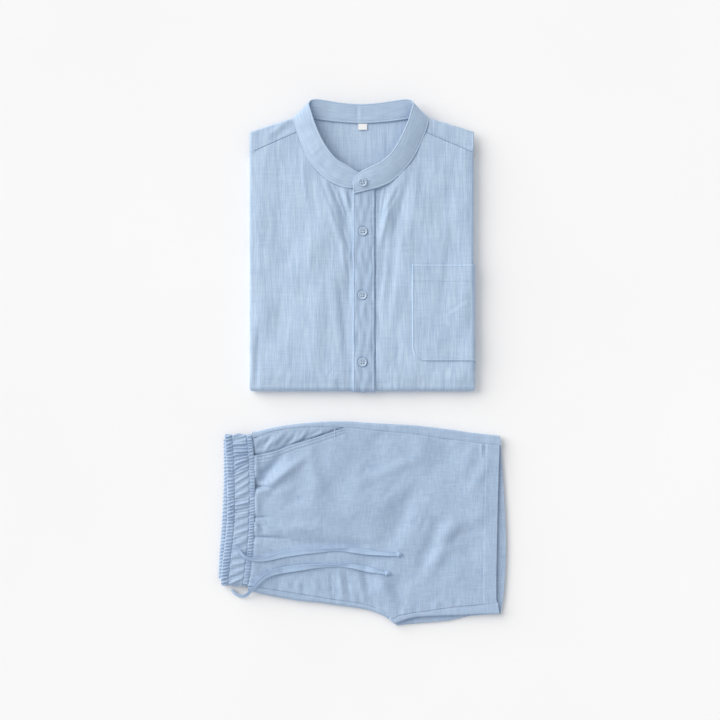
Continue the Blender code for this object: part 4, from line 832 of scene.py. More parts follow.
def pocket_lift(columns, rows):
    """Hem at the top, stitched edges that pull in, and a slightly full middle."""
    inside = np.minimum(columns - pocket_left(rows), rows - POCKET_BOTTOM)
    over_hem = rows - POCKET_HEM_Y
    hem = 0.32 * smooth_step(-0.8, 0.8, over_hem) - 0.22 * dip(over_hem, 0, 0.9)
    edge = 0.30 * dip(inside, 2.0, 1.0) - 0.40 * dip(inside, 3.3, 0.8) - 0.75 * smooth_step(1.8, 0.0, inside)
    mouth = POCKET_TOP - rows
    hem = hem + 0.30 * dip(mouth, 1.9, 0.9) - 0.85 * smooth_step(1.6, 0.0, mouth)
    full = 0.35 * smooth_step(3, 22, inside) + ripples(columns, rows, 15, 6, (20, 60), (30, 120), 0.10)
    return hem + edge + full


def add_pocket(cloth):
    """The chest pocket; its outer edge goes round the pad's side."""
    low = POCKET_BOTTOM + np.concatenate([np.arange(0, 5, 0.5), np.arange(5, 22, 1.2)])
    rows = np.concatenate([low, np.arange(25, 110, 2.0), np.arange(110.5, 117, 0.7),
                           np.arange(118, POCKET_TOP - 4, 1.6),
                           np.arange(POCKET_TOP - 3.6, POCKET_TOP - 0.2, 0.4), [POCKET_TOP]])[::-1]
    around = turn_columns(1, rows, np.arange(0, 125, 12.4))
    left = pocket_left(rows)[:, None]
    span = around[:, :1] - left
    edge = np.arange(0, 5, 0.4)[None, :]
    shares = np.linspace(0, 1, 42)[None, :-1]
    inner = left + 5 + (span - 5) * shares
    columns = np.hstack([left + edge * np.minimum(1, span / 6), inner, around])
    lift = LIFT + OUT + pocket_lift(columns, rows[:, None])
    add_shirt_ply("chest_pocket", columns, rows[:, None], lift, cloth)


def pocket_top(x, y):
    return shirt_sheet(x, y, LIFT + OUT + PLY / 2 + pocket_lift(x, y))


def collar_surface():
    """Middle surface of the standing band and its outward normals, with close columns at both edges."""
    rows = spline(COLLAR, COLLAR_ROWS)
    seam, top = rows[:, None, :3], rows[:, None, 3:]
    share = np.linspace(0, 1, COLLAR_COLUMNS)[None, :, None]
    middle = seam + (top - seam) * share
    outward = unit(np.cross(np.gradient(middle, axis=0), top - seam))
    outward *= np.where(outward[:, 2:3, 2:3] < 0, -1, 1)
    front = smooth_step(352, 330, middle[:, :, 1:2])
    middle = middle + outward * COLLAR_BOW * np.sin(np.pi * share) * front
    length = run_of(rows[:, :3])
    wave = ripples(length[:, None], share[:, :, 0] * 28, 21, 8, (16, 50), (60, 200), 0.34)
    wave = wave + 0.9 * sum(dip(length, at, 2.2) * strength for at, strength in COLLAR_KINKS)[:, None]
    middle = middle + outward * (wave * np.sin(np.pi * share[:, :, 0]))[:, :, None]
    return middle, outward


def collar_edge(middle):
    """Distance in millimetres from each point to the band's nearest edge, its lapped end too."""
    run = run_of(middle[:, 11])
    height = np.linalg.norm(middle[:, -1] - middle[:, 0], axis=1)[:, None]
    share = np.linspace(0, 1, middle.shape[1])[None, :]
    across = np.minimum(share, 1 - share) * height
    along = np.minimum(run, run[-1] - run)[:, None]
    return np.minimum(across, along)[:, :, None]


def collar_half(edge):
    """Half the band's thickness: a rolled rim, then the groove of its stitch line."""
    rounding = 0.35 + 0.65 * np.sqrt(np.clip(edge / 0.9, 0, 1))
    return COLLAR_PLY / 2 * rounding * (1 + 0.45 * dip(edge, 1.0, 0.7) - 0.45 * dip(edge, 2.5, 0.8))


def add_collar(cloth):
    """The standing band of two plies, whose left end laps over its right one."""
    middle, outward = collar_surface()
    half = collar_half(collar_edge(middle))
    height = np.linalg.norm(middle - middle[:, :1], axis=2)
    spots = grid(height, run_of(middle[:, 19])[:, None]).reshape(-1, 2)
    piece = add_wall("collar_band_cloth", middle + outward * half, middle - outward * half, cloth,
                     "shirt_cloth", ["collar_band"], np.vstack([spots, spots]))
    declare_sheet(piece, middle)


def collar_line(inset, out):
    """A line round the collar at a distance from its seam, or from its top edge where inset is negative."""
    middle, outward = collar_surface()
    height = np.linalg.norm(middle[:, -1] - middle[:, 0], axis=1)
    share = inset / height if inset >= 0 else 1 + inset / height
    column = np.clip(share, 0, 1) * (middle.shape[1] - 1)
    low = np.minimum(column.astype(int), middle.shape[1] - 2)
    part = (column - low)[:, None]
    rows = np.arange(len(middle))
    line = middle[rows, low] * (1 - part) + middle[rows, low + 1] * part
    return line + outward[:, 0] * out


def shoulder_rows():
    (x0, y0), (x1, y1) = SHOULDER
    length = math.hypot(x1 - x0, y1 - y0)
    nx, ny = -(y1 - y0) / length, (x1 - x0) / length
    inset = SHOULDER_R + CLOTH / 2
    rows = []
    for angle in range(0, 181, 15):
        off = SHOULDER_R * math.sin(math.radians(angle)) - inset
        z = BACK_Z + SHOULDER_R * (1 + math.cos(math.radians(angle)))
        neck_y = y0 + (y1 - y0) * (SHOULDER_NECK_X - x0) / (x1 - x0)
        outer_x = LEFT_EDGE if angle < 180 else SHOULDER_END_X
        row = YokeRow(SHOULDER_NECK_X + nx * off, neck_y + ny * off, outer_x, y0 + ny * off, z)
        rows.append((row, angle))
    return rows


def yoke_row_points(row, fold, inside):
    """One row across the left half of the yoke; fold is the shoulder fold's angle there in degrees."""
    end = row.outer_x if inside else -(float(side_edge(-1, row.outer_y)) - CLOTH / 2 - SIDE_R)
    last = 0.92 if inside else 1.0
    points = []
    for share in np.linspace(0, last, 40):
        x = row.neck_x + (end - row.neck_x) * share
        y = row.neck_y + (row.outer_y - row.neck_y) * share
        lift = 0 if inside else CROWN * (1 - (x / 160) ** 2) * (row.z - BACK_Z) / (YOKE_Z - BACK_Z)
        points.append((x, y, row.z + lift))
    x0, y0, _ = points[-1]
    y0 -= SHOULDER_R * math.sin(math.radians(fold))
    for angle in range(15, 151, 15):
        if inside:
            share = last + (1 - last) * angle / 150
            points.append((row.neck_x + (end - row.neck_x) * share,
                           row.neck_y + (row.outer_y - row.neck_y) * share, row.z))
            continue
        heading = math.radians(90 * fold / (fold + angle))
        turn = math.radians(max(fold, angle))
        half = SHOULDER_R + 0.3 * math.cos(heading)
        points.append((x0 - SIDE_R * math.cos(heading) * math.sin(turn),
                       y0 + SHOULDER_R * math.sin(heading) * math.sin(turn),
                       YOKE_Z - half * (1 - math.cos(turn))))
    return points


def between(rows, steps):
    """The rows with steps - 1 more between each two."""
    table = np.array(rows)
    places = np.linspace(0, len(rows) - 1, (len(rows) - 1) * steps + 1)
    columns = [np.interp(places, range(len(rows)), table[:, i]) for i in range(table.shape[1])]
    return [YokeRow(*values) for values in zip(*columns)]


def add_yoke(cloth):
    """The yoke: both shoulders' tops, their folds, and the layer that shows inside the neck."""
    turns = shoulder_rows()
    rows = [yoke_row_points(row, 0, False) for row in between([*YOKE_FRONT, turns[0][0]], 5)[:-1]]
    rows += [yoke_row_points(row, angle, angle == 180) for row, angle in turns]
    rows += [yoke_row_points(row, 0, True) for row in between([turns[-1][0], *YOKE_INSIDE], 9)[1:]]
    left = np.array(rows)
    right = left[-2::-1].copy()
    mirrored = 2 * YOKE_MIRROR_X - right[:, :, 0]
    right[:, :, 0] = mirrored + np.maximum(mirrored - YOKE_STRETCH_X, 0) * YOKE_STRETCH
    middle = np.concatenate([left, right])
    normal = -normals(middle)
    x, y, z = middle[:, :, 0], middle[:, :, 1], middle[:, :, 2]
    top = smooth_step(YOKE_Z - 0.8, YOKE_Z, z) * smooth_step(0, 6, y - 297)
    raised = (relief(YOKE_CREASES, x, y) + ripples(x, y, 31, 7, (20, 60), (20, 70), 0.12)) * top
    raised = raised - 1.9 * smooth_step(84, 150, x) * top
    deep = smooth_step(BACK_Z + 0.4, BACK_Z, z) * smooth_step(85, 60, np.abs(x - YOKE_MIRROR_X))
    sunk = (relief(INSIDE_CREASES, x, y) + ripples(x, y, 33, 6, (12, 50), (60, 200), 0.12)) * deep
    middle = middle + normal * (OUT + raised - sunk)[:, :, None]
    add_ply("yoke_cloth", "yoke", middle, normal, cloth, "shirt_cloth")


def add_label(tape):
    """The small bare tab at the back neck seam: a tape folded in half, its fold towards the front."""
    x0, x1, y0, y1 = LABEL
    radius = 0.42
    path = [(y, 2 * radius + 0.25 * (y1 - y) / (y1 - y0)) for y in np.linspace(y1, y0 + radius, 10)]
    path += [(y0 + radius - radius * math.sin(a), radius * (1 + math.cos(a)) + 0.25 * (1 - a / math.pi))
             for a in np.radians(np.arange(20, 181, 20))]
    path += [(y, 0) for y in np.linspace(y0 + radius + 1, y1, 8)]
    line = np.array(path)
    across = np.linspace(0, 1, 12)
    z = BACK_Z + 0.95 + line[:, 1:] + 0.2 * np.sin(np.pi * across)
    middle = grid(x0 + (x1 - x0) * across, line[:, :1], z)
    add_ply("neck_label_tape", "neck_label", middle, normals(middle), tape, "label_tape", 0.16)


def button_mesh():
    """A turned button with a raised rim, a dished middle and four thread holes, cut with a Boolean."""
    shape = bmesh.new()
    shape_points = [shape.verts.new((r * MM, 0, z * MM)) for r, z in BUTTON_PROFILE]
    edges = [shape.edges.new((a, b)) for a, b in zip(shape_points, shape_points[1:])]
    bmesh.ops.spin(shape, geom=shape_points + edges, cent=(0, 0, 0), axis=(0, 0, 1),
                   angle=2 * math.pi, steps=48, use_merge=True)
    bmesh.ops.remove_doubles(shape, verts=shape.verts, dist=0.001 * MM)
    bmesh.ops.recalc_face_normals(shape, faces=shape.faces)
    mesh = bpy.data.meshes.new("button")
    shape.to_mesh(mesh)
    shape.free()
    button = new_object("button_blank", mesh)
    drills = bmesh.new()
    for dx, dy in ((1, 1), (1, -1), (-1, -1), (-1, 1)):
        place = Matrix.Translation((HOLE_SPREAD * dx * MM, HOLE_SPREAD * dy * MM, 1 * MM))
        bmesh.ops.create_cone(drills, cap_ends=True, segments=16, radius1=HOLE_R * MM,
                              radius2=HOLE_R * MM, depth=6 * MM, matrix=place)
    drill_mesh = bpy.data.meshes.new("drills")
    drills.to_mesh(drill_mesh)
    drills.free()
    drill = new_object("button_drills", drill_mesh)
    cut = button.modifiers.new("holes", "BOOLEAN")
    cut.operation = "DIFFERENCE"
    cut.object = drill
    graph = bpy.context.evaluated_depsgraph_get()
    result = bpy.data.meshes.new_from_object(button.evaluated_get(graph))
    for obj in (button, drill):
        bpy.data.objects.remove(obj)
    result.shade_smooth()
    result.set_sharp_from_angle(angle=math.radians(38))
    return result


def collar_spot(x, y, out):
    """The place on the band's lapped end nearest to x, y, that far out of its middle, and its normal."""
    middle, outward = collar_surface()
    late = middle[-70:].reshape(-1, 3)
    normal = (outward[-70:] + np.zeros_like(middle[-70:])).reshape(-1, 3)
    nearest = np.argmin(np.hypot(late[:, 0] - x, late[:, 1] - y))
    return late[nearest] + normal[nearest] * out, normal[nearest]


def add_buttons(plastic, thread):
    """Four sewn buttons: one on the collar's end and three down the placket."""
    blank = button_mesh()
    seats = [("collar_button", *collar_spot(*COLLAR_BUTTON, COLLAR_PLY / 2))]
    seats += [(f"front_button_{i + 1}", placket_top(BUTTON_X, y), np.array([0, 0, 1.0]))
              for i, y in enumerate(BUTTON_YS)]
    for name, place, up in seats:
        mesh = blank.copy()
        mesh.name = name + "_resin"
        mesh.materials.clear()
        mesh.materials.append(plastic)
        button = new_object(name + "_resin", mesh)
        turn = Vector(up).to_track_quat("Z", "Y").to_matrix().to_4x4()
        button.matrix_world = Matrix.Translation(Vector((place + ORIGIN) * MM)) @ turn
        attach(button, "root")
        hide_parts(name)
        add_thread(name, place, turn, thread)


def add_thread(name, place, turn, thread):
    """Two bars of thread that dip into a button's holes."""
    t = np.linspace(-1, 1, 11)
    lines = [np.stack([0.82 * t, HOLE_SPREAD * side + 0 * t, 2.05 - 1.3 * t**6], axis=1) for side in (-1, 1)]
    points, faces = tubes(lines, 0.24)
    turned = [np.array(turn @ Vector(p)) + place for p in points]
    add_piece(name + "_thread", turned, faces, thread, "button_plastic")


def add_shirt_stitches(thread):
    """Top-stitching on the placket, the pocket, the yoke seams and the collar."""
    lines = []
    down = np.arange(PLACKET_TOP - 2, HINGE_Y, -1.5)
    for x in (PLACKET[0] + 3.6, PLACKET[1] - 3.8):
        lines.append(placket_top(np.full_like(down, x), down))
    across = np.arange(POCKET_LEFT + 1, 151, 1.5)
    lines.append(pocket_top(across, np.full_like(across, POCKET_HEM_Y)))
    inset = 3.3
    side = [(POCKET_LEFT + inset, y) for y in np.arange(POCKET_TOP - 1, POCKET_BOTTOM + POCKET_CORNER, -1.5)]
    corner = [(POCKET_LEFT + POCKET_CORNER - (POCKET_CORNER - inset) * math.cos(a),
               POCKET_BOTTOM + POCKET_CORNER - (POCKET_CORNER - inset) * math.sin(a))
              for a in np.radians(np.arange(0, 91, 6))]
    foot = [(x, POCKET_BOTTOM + inset) for x in np.arange(POCKET_LEFT + POCKET_CORNER, 152, 1.5)]
    path = np.array([*side, *corner, *foot])
    lines.append(pocket_top(path[:, 0], path[:, 1]))
    for seam in (YOKE_SEAM_LEFT, YOKE_SEAM_RIGHT):
        seam_line = spline(seam, 50)
        z = FOLD_Z + SKIN + CROWN * (1 - (seam_line[:, 0] / 160) ** 2) + OUT + PLY / 2
        lines.append(np.stack([seam_line[:, 0], seam_line[:, 1] + 2.6, z + 0.02], axis=1))
    for inset in (2.5, -2.5):
        lines.append(collar_line(inset, COLLAR_PLY * 0.24)[14:-14])
    # The stitches' lighter thread paints their highlights.
    add_piece("shirt_stitches", *stitches(lines), thread, "shirt_cloth")


def add_collar_lines(dark, pale_highlight):
    """The neck seam as a dark tube of painted shade in its crease, and pale tubes of painted highlight along
    the band's edges.
    """
    # Painted shade: a dark tube along the crease of the neck seam.
    add_piece("neck_seam_shade", *tubes([collar_line(0.0, 0.35)[14:]], 0.28), dark, "shirt_cloth")
    # Painted highlight: pale tubes along the band's top edge, near its seam and along its lapped end.
    edges = [collar_line(-0.5, COLLAR_PLY * 0.32)[3:-2], collar_line(1.5, COLLAR_PLY * 0.42)[14:-2],
             collar_surface()[0][-3] + (0, 0, COLLAR_PLY * 0.35)]
    add_piece("collar_edge_highlights", *tubes(edges, 0.36), pale_highlight, "shirt_cloth")


def add_buttonhole(thread, dark):
    """The worked buttonhole that shows beside the collar button, with its slit as a dark tube of painted
    shade.
    """
    lines = []
    for offset in (-0.6, 0.6, 0.0):
        line = []
        for x in np.arange(COLLAR_BUTTON[0] + 4.5, COLLAR_BUTTON[0] + 11, 0.4):
            y = COLLAR_BUTTON[1] + 0.30 * (x - COLLAR_BUTTON[0]) + offset
            line.append((x, y, collar_spot(x, y, COLLAR_PLY / 2 + 0.1)[0][2] + 0.05))
        lines.append(np.array(line))
    add_piece("buttonhole_edges", *tubes(lines[:2], 0.42), thread, "shirt_cloth")
    # Painted shade: a dark tube in the slit's cut.
    add_piece("buttonhole_slit_shade", *tubes([lines[2][:8]], 0.40), dark, "shirt_cloth")


def rounded(outline, per_span):
    closed = np.vstack([outline, outline[:1]])
    return spline(closed, per_span)[:-1]


def layer_stack(name, outline, layers, material, slot, nodes):
    """Folded layers as a stack: each is a rounded slab whose outline stands in by its own amount."""
    inward = unit(outline.mean(axis=0) - outline)
    rings = []
    for layer in layers:
        height = layer.high - layer.low
        drift = ripples(outline[:, 0], outline[:, 1], layer.seed, 4, (60, 160), (60, 160), 0.35)
        for share, pull in LAYER_ROUND:
            ring = outline + inward * (layer.inset + pull * min(height, 1.4) + 0.4 + drift)[:, None]
            rings.append(np.column_stack([ring, np.full(len(ring), layer.low + height * share)]))
    count = len(outline)
    faces = [tuple(range(count)), tuple(range(len(rings) * count - 1, (len(rings) - 1) * count - 1, -1))]
    for level in range(len(rings) - 1):
        for i in range(count):
            a, b = level * count + i, level * count + (i + 1) % count
            faces.append((b, a, a + count, b + count))
    return add_piece(name, np.concatenate(rings), faces, material, slot, nodes)


def add_shirt_layers(cloth):
    """The hidden back and sleeves as stacked layers between the turned sides."""
    full = rounded(np.array(SHIRT_STACK, float), 10)
    low = layer_stack("shirt_layers_cloth", full, SHIRT_LAYERS, cloth, "shirt_cloth", ["shirt_folded_layers"])
    head, trunk = full.copy(), full.copy()
    head[:, 1] = np.maximum(head[:, 1], HEM_Y + 2.5)
    layer_stack("shirt_back_under", rounded(head[::6], 4), UNDER_LAYERS, cloth, "shirt_cloth", ())
    trunk[:, 1] = np.minimum(trunk[:, 1], BACK_END_Y - 8)
    layer_stack("shirt_inner_layers", rounded(trunk[::6], 4), INNER_LAYERS, cloth, "shirt_cloth", ())


# Shorts

SHORTS_SCATTER = scattered(63, 90, (-150, 170, -340, -100), (12, 50), (2.5, 6.0), 0.58, (0, 180))
SHORTS_BROAD = scattered(64, 36, (-150, 180, -340, -100), (50, 130), (8.0, 18.0), 2.1, (20, 110))


def front_seam_puckers(x, y):
    """Small upright folds where the front is eased into the centre-front and inseam seams."""
    near = smooth_step(26, 3, y - read(FRONT_LOWER, x))
    wave = np.sin(x * 2 * np.pi / 19 + 0.9 * np.sin(x / 23)) + 0.6 * np.sin(x * 2 * np.pi / 11.3 + 1.7)
    return 0.32 * wave * near * smooth_step(150, 120, x)


def waist_puckers(x, y):
    """Short folds that run from the waist seam into the front."""
    into = x - read(BAND_RIGHT, y)
    near = smooth_step(22, 1, into)
    wave = np.sin(y * 2 * np.pi / 9.5 + 1.3 * np.sin(y / 17)) + 0.7 * np.sin(y * 2 * np.pi / 5.4 + 0.6)
    patch = 0.5 + 0.5 * np.sin(y / 13 + 0.8)
    swell = 0.9 * smooth_step(14, 3, into) - 0.8 * smooth_step(3.4, 0.0, into)
    return 0.42 * wave * near * patch + swell - 2.0 * smooth_step(-0.1, -1.6, into)


def edge_fall(x):
    """How far the front's lower edge sinks towards the centre-front fold at x."""
    return EDGE_FALL * smooth_step(-158, -112, x) * smooth_step(40, 4, x)


def body_relief(x, y):
    edge = smooth_step(0, 26, y - read(UNDER_OUTLINE, x)) * smooth_step(0, 16, read(TOP_OUTLINE, x) - y)
    hem = smooth_step(4, 22, read(HEM_FRONT, y) - x)
    bold = SHORTS_BOLD_GAIN * relief(SHORTS_CREASES, x, y) * edge
    fine = SHORTS_FINE_GAIN * relief(SHORTS_FINE, x, y) * smooth_step(0, 8, y - read(UNDER_OUTLINE, x))
    fine += relief(SHORTS_SCATTER, x, y) * edge + relief(SHORTS_BROAD, x, y) * edge
    fine += ripples(x, y, 62, 10, (14, 44), (12, 40), 0.10) * edge
    fall = edge_fall(x) * smooth_step(FALL_REACH, 2, y - read(FRONT_LOWER, x)) ** 1.3
    return (bold + fine) * (0.25 + 0.75 * hem) - fall


def body_top(x, y):
    """Middle of the frame's top wall under the fine front."""
    return read(TOP_LEVEL, x) + body_relief(x, y)


def hem_profile(x, y):
    """The turned hem: a second ply beyond the stitch line, which pulls in."""
    back = x - (read(HEM_FRONT, y) - HEM_WIDTH)
    return 0.22 * smooth_step(-0.8, 1.2, back) - 0.34 * dip(back, 0, 0.9)


def mouth_profile(x, y):
    """The pocket mouth's rolled edge and the stitched line below it."""
    below = read(POCKET_MOUTH, x) - y
    along = smooth_step(POCKET_END_X + 6, POCKET_END_X - 4, x)
    pulled = 0.36 * np.sin(x * 2 * np.pi / 6.1 + 1.2 * np.sin(x / 11)) * dip(below, 5, 2.4)
    rolled = 0.85 * dip(below, 1.4, 1.6) - 0.22 * dip(below, 3.2, 0.8)
    return along * (rolled - 0.45 * dip(below, MOUTH_STITCH, 1.0) + 0.4 * dip(below, 5.6, 2.2) + pulled)


def front_grid(share, across):
    """x and y of the front panel for shares from waist to hem and from the upper edge to the lower seam."""
    share, across = np.meshgrid(share, across, indexing="ij")
    y = -120 - 215 * across
    for _ in range(12):
        start, end = read(BAND_RIGHT, y) - BAND_TUCK, read(HEM_FRONT, y)
        x = start + (end - start) * share
        seam, mouth = read(SIDE_SEAM, x), read(POCKET_MOUTH, x)
        upper = np.where(x < POCKET_END_X, np.minimum(mouth, seam), seam) - 0.2
        lower = read(FRONT_LOWER, x) + 0.25
        y = upper + (lower - upper) * across
    return x, y


def front_face(x, y):
    """Height of the fine front's middle at x, y."""
    seam = read(SIDE_SEAM, x) - y
    roll = -0.5 * smooth_step(1.5, 0, seam) * smooth_step(POCKET_END_X - 4, POCKET_END_X + 8, x)
    lower = -0.5 * smooth_step(1.6, 0, y - read(FRONT_LOWER, x))
    detail = front_seam_puckers(x, y) + waist_puckers(x, y) + hem_profile(x, y) + mouth_profile(x, y)
    return body_top(x, y) + OUT + roll + lower + detail


def add_shorts_front(cloth):
    """The top leg's front."""
    share = steps((0, 0.06, 14), (0.06, 0.92, 124), (0.92, 0.97, 22), (0.97, 1, 8))
    across = steps((0, 0.06, 16), (0.06, 0.95, 90), (0.95, 1, 12))
    x, y = front_grid(share, across)
    middle = np.stack([x, y, front_face(x, y)], axis=-1)
    add_ply("shorts_front_cloth", "shorts_front_panel", middle, normals(middle, (0, 0, 1.0)), cloth,
            "shorts_cloth")


def back_section(x):
    """The top leg's back at x: from the side seam over the fold, underneath, and up to the inseam."""
    top, low = read(TOP_LEVEL, x), read(BACK_LEVEL, x)
    radius = (top - low) / 2
    seam, fold = read(SIDE_SEAM, x), read(TOP_OUTLINE, x)
    centre = fold - CLOTH / 2 - radius
    first = min(seam + 0.2, centre - 0.4)
    points = [(first + (centre - first) * s, top - 0.5 * (1 - min(1, s * 4))) for s in np.linspace(0, 0.9, 6)]
    points += [(centre + radius * math.sin(a), low + radius * (1 + math.cos(a)))
               for a in HALF_TURN]
    edge = read(LEG_EDGE, x) if x > LEG_EDGE[0][0] else read(STACK_OUTLINE, x) + 0.4
    end = edge + CLOTH / 2 + radius
    lower_seam = read(FRONT_LOWER, x) - 0.2
    turned = [(end - radius * math.sin(a), low + radius * (1 - math.cos(a))) for a in HALF_TURN]
    last = max(lower_seam, end + 0.5)
    turned += [(end + (last - end) * s, top - 0.4 * smooth_step(0.6, 1, s)) for s in (0.25, 0.5, 0.75, 1.0)]
    inner_end = read(FRONT_LOWER, x) + BACK_TUCK
    small = radius - TUCK_FLATTEN / 2
    tucked = [(inner_end - small * math.sin(a), low + small * (1 - math.cos(a))) for a in HALF_TURN]
    tucked += [(inner_end + 1.2 * s, low + 2 * small) for s in (0.25, 0.5, 0.75, 1.0)]
    out, up = float(smooth_step(*CROTCH, x)), float(smooth_step(CROTCH[0] + 0.6, CROTCH[1] + 1.5, x))
    close = [(a[0] + (b[0] - a[0]) * out, a[1] + (b[1] - a[1]) * up) for a, b in zip(tucked, turned)]
    for share in np.linspace(0.04, 0.96, 24):
        points.append((centre + (close[0][0] - centre) * share, low))
    return points + close


def add_shorts_back(cloth):
    """The top leg's back: along the side fold, beyond the inseam and inside the hem."""
    xs = np.concatenate([np.arange(-151, 32, 3.0), np.arange(32, 56, 1.0), np.arange(56, 190, 3.0), [192]])
    middle = np.array([[(x, y, z) for y, z in back_section(x)] for x in xs])
    middle[0, :, 0] = read(BAND_RIGHT, middle[0, :, 1]) + SEAM_CLEAR
    y, z = middle[-1, :, 1], middle[-1, :, 2]
    raised = smooth_step(5.5, 8.5, z) * smooth_step(-320, -330, y)
    reach = read(HEM_BACK, y) * (1 - raised) + read(HEM_FRONT, y) * raised
    blend = smooth_step(150, 192, xs)[:, None]
    middle[:, :, 0] += (reach - 192)[None, :] * blend
    normal = -normals(middle)
    flip = np.sign((normal[:, 12, :] * np.array([0, 1.0, 0])).sum(axis=1))[:, None, None]
    normal = normal * flip
    x, y, z = middle[:, :, 0], middle[:, :, 1], middle[:, :, 2]
    top = smooth_step(0.5, 0.9, normal[:, :, 2])
    wave = ripples(x, y, 71, 7, (16, 50), (30, 90), 0.14) * top
    hem = 0.30 * smooth_step(169.5, 171, x) - 0.36 * dip(x, HEM_STITCH_X + 1.5, 1.0)
    middle = middle + normal * (OUT + wave + hem * top)[:, :, None]
    add_ply("shorts_back_cloth", "shorts_back_panel", middle, normal, cloth, "shorts_cloth")


def add_facing(cloth):
    """The pocket's puckered facing between the side seam and the mouth."""
    xs = np.linspace(-152.0, POCKET_END_X + 2, 90)
    rows = []
    for x in xs:
        seam, mouth = read(SIDE_SEAM, x) - 0.2, read(POCKET_MOUTH, min(x, POCKET_END_X))
        lower = mouth - FACING_UNDER
        level = read(TOP_LEVEL, x)
        span = max(seam - mouth, 1.0)
        row = []
        for y in np.linspace(seam, lower, 34):
            into = seam - y
            drop = FACING_DROP * float(smooth_step(0, span, into))
            full = math.sin(math.pi * min(into / (span + 2), 1)) * min(span / 14, 1)
            pucker = FACING_GAIN * float(relief(FACING_CREASES, x, y))
            pucker += 0.3 * math.sin(0.62 * x - 0.40 * y + math.sin(x / 7))
            under = 1.3 * float(smooth_step(span - 4, span, into)) * min(span / 14, 1)
            row.append((x, y, level - drop - 0.3 - under + (pucker + 0.5) * full))
        rows.append(row)
    middle = np.array(rows)
    middle[0, :, 0] = read(BAND_RIGHT, middle[0, :, 1]) - BAND_TUCK
    middle[0, :, 2] -= 1.6
    add_ply("pocket_facing_cloth", "pocket_facing", middle, normals(middle, (0, 0, 1.0)), cloth,
            "shorts_cloth")


def add_other_front(cloth):
    """The lower leg's front, which comes up round the centre-front edge to the seam."""
    rows = []
    for x in np.concatenate([np.arange(-157, 30, 2.5), np.arange(30, 35.1, 1.0)]):
        top, seam = float(read(TOP_LEVEL, x) - edge_fall(x)), read(FRONT_LOWER, x) - 0.15
        radius = (top - CLOTH / 2) / 2
        centre = read(STACK_OUTLINE, x) + CLOTH / 2 + radius
        wave = 0.25 * math.sin(x * 2 * math.pi / 19 + 0.9 * math.sin(x / 23))
        if seam < centre:
            lean = math.asin(min((centre - seam) / radius, 0.95))
            section = [(seam, CLOTH / 2 + radius * (1 + math.cos(lean)) - 0.4)]
        else:
            lean = 0.0
            section = [(seam, top - 0.4)]
        for k, a in enumerate(np.linspace(max(lean, 0.0) + 0.12, math.pi, 22)):
            bulge = radius + wave * math.exp(-k / 5)
            section.append((centre - bulge * math.sin(a), CLOTH / 2 + radius * (1 + math.cos(a))
                            + wave * math.exp(-k / 3) * math.cos(a)))
        section.append((centre + 1.4, CLOTH / 2))
        rows.append([(x, y, z) for y, z in section])
    last = np.array(rows[-1])
    chord = last[0] + (last[-1] - last[0]) * np.linspace(0, 1, len(last))[:, None]
    rows += [chord + (last - chord) * left + (ahead, 0, 0) for ahead, left in CROTCH_CAP]
    middle = np.array(rows)
    middle[0, :, 0] = read(BAND_RIGHT, middle[0, :, 1]) + SEAM_CLEAR
    normal = normals(middle)
    normal *= np.sign((normal[:, 10] * np.array([0, -1.0, 0])).sum(axis=1))[:, None, None]
    middle = middle + normal * OUT
    add_ply("shorts_other_front_cloth", "shorts_other_front", middle, normal, cloth, "shorts_cloth")


def band_path():
    """The waistband's path in y and z with its outward normal and its gathers' strength."""
    fold = BAND_FOLD_Y + BAND_THICK / 2 + BAND_R
    side = BAND_SIDE_Y - BAND_THICK / 2 - BAND_SIDE_R
    path = [(side - 1.5, BAND_TOP_Z - 2 * BAND_SIDE_R, 0, -1, 0)]
    for a in np.radians(np.arange(180, 0, -12)):
        path.append((side + BAND_SIDE_R * math.sin(a), BAND_TOP_Z - BAND_SIDE_R * (1 - math.cos(a)),
                     math.sin(a), math.cos(a), max(0.2, math.cos(a / 2) ** 2)))
    for y in np.arange(side, fold, -0.5):
        path.append((y, BAND_TOP_Z, 0, 1, 1))
    for a in np.radians(np.arange(0, 181, 5)):
        path.append((fold - BAND_R * math.sin(a), BAND_THICK / 2 + BAND_R * (1 + math.cos(a)),
                     -math.sin(a), math.cos(a), max(math.cos(a / 2) ** 2, 0.15)))
    path.append((fold + 3, BAND_THICK / 2, 0, -1, 0))
    return np.array(path)


def wander(run, spacing, low, high, seed):
    """A seeded value that drifts along the band, with a new target every spacing millimetres."""
    knots = np.arange(-spacing, 320, spacing)
    return np.interp(run, knots, np.random.default_rng(seed).uniform(low, high, len(knots)))


def gather_height(run, share):
    """Gathers of the elastic casing: close ones in the outer channels, loose slanting ones between."""
    total = np.zeros(np.broadcast(run, share).shape)
    for k, channel in enumerate(CHANNELS):
        inside = smooth_step(channel.start - 0.01, channel.start + 0.035, share)
        inside = inside * smooth_step(channel.end + 0.01, channel.end - 0.035, share)
        across = (share - (channel.start + channel.end) / 2) * BAND_WIDTH
        slant = wander(run, 26, *channel.lean, 40 + k) * across
        phase = (run + slant + wander(run, GATHER_PITCH * 1.5, -1.1, 1.1, 50 + k)) * 2 * np.pi / channel.pitch
        size = wander(run, GATHER_PITCH, 0.6, 1.3, 60 + k) * (0.35 + 0.65 * smooth_step(0, 0.07, share))
        ridges = 0.75 * np.cos(phase) + 0.25 * np.cos(2 * phase + 0.5)
        if channel.loose:
            patch = wander(run, 15, -0.3, 1.3, 70) + across / 24 * wander(run, 19, -1, 1, 71)
            patch = np.clip(patch, 0.08, 1.2)
            broad = np.cos((run + 1.6 * slant) * 2 * np.pi / 13 + 3 * wander(run, 30, -1, 1, 72))
            ridges = ridges * patch + 0.45 * broad
        total += channel.gather * ridges * size * inside
        total += channel.swell * (1 - (across / 20 / (channel.end - channel.start)) ** 2) * inside
    return total


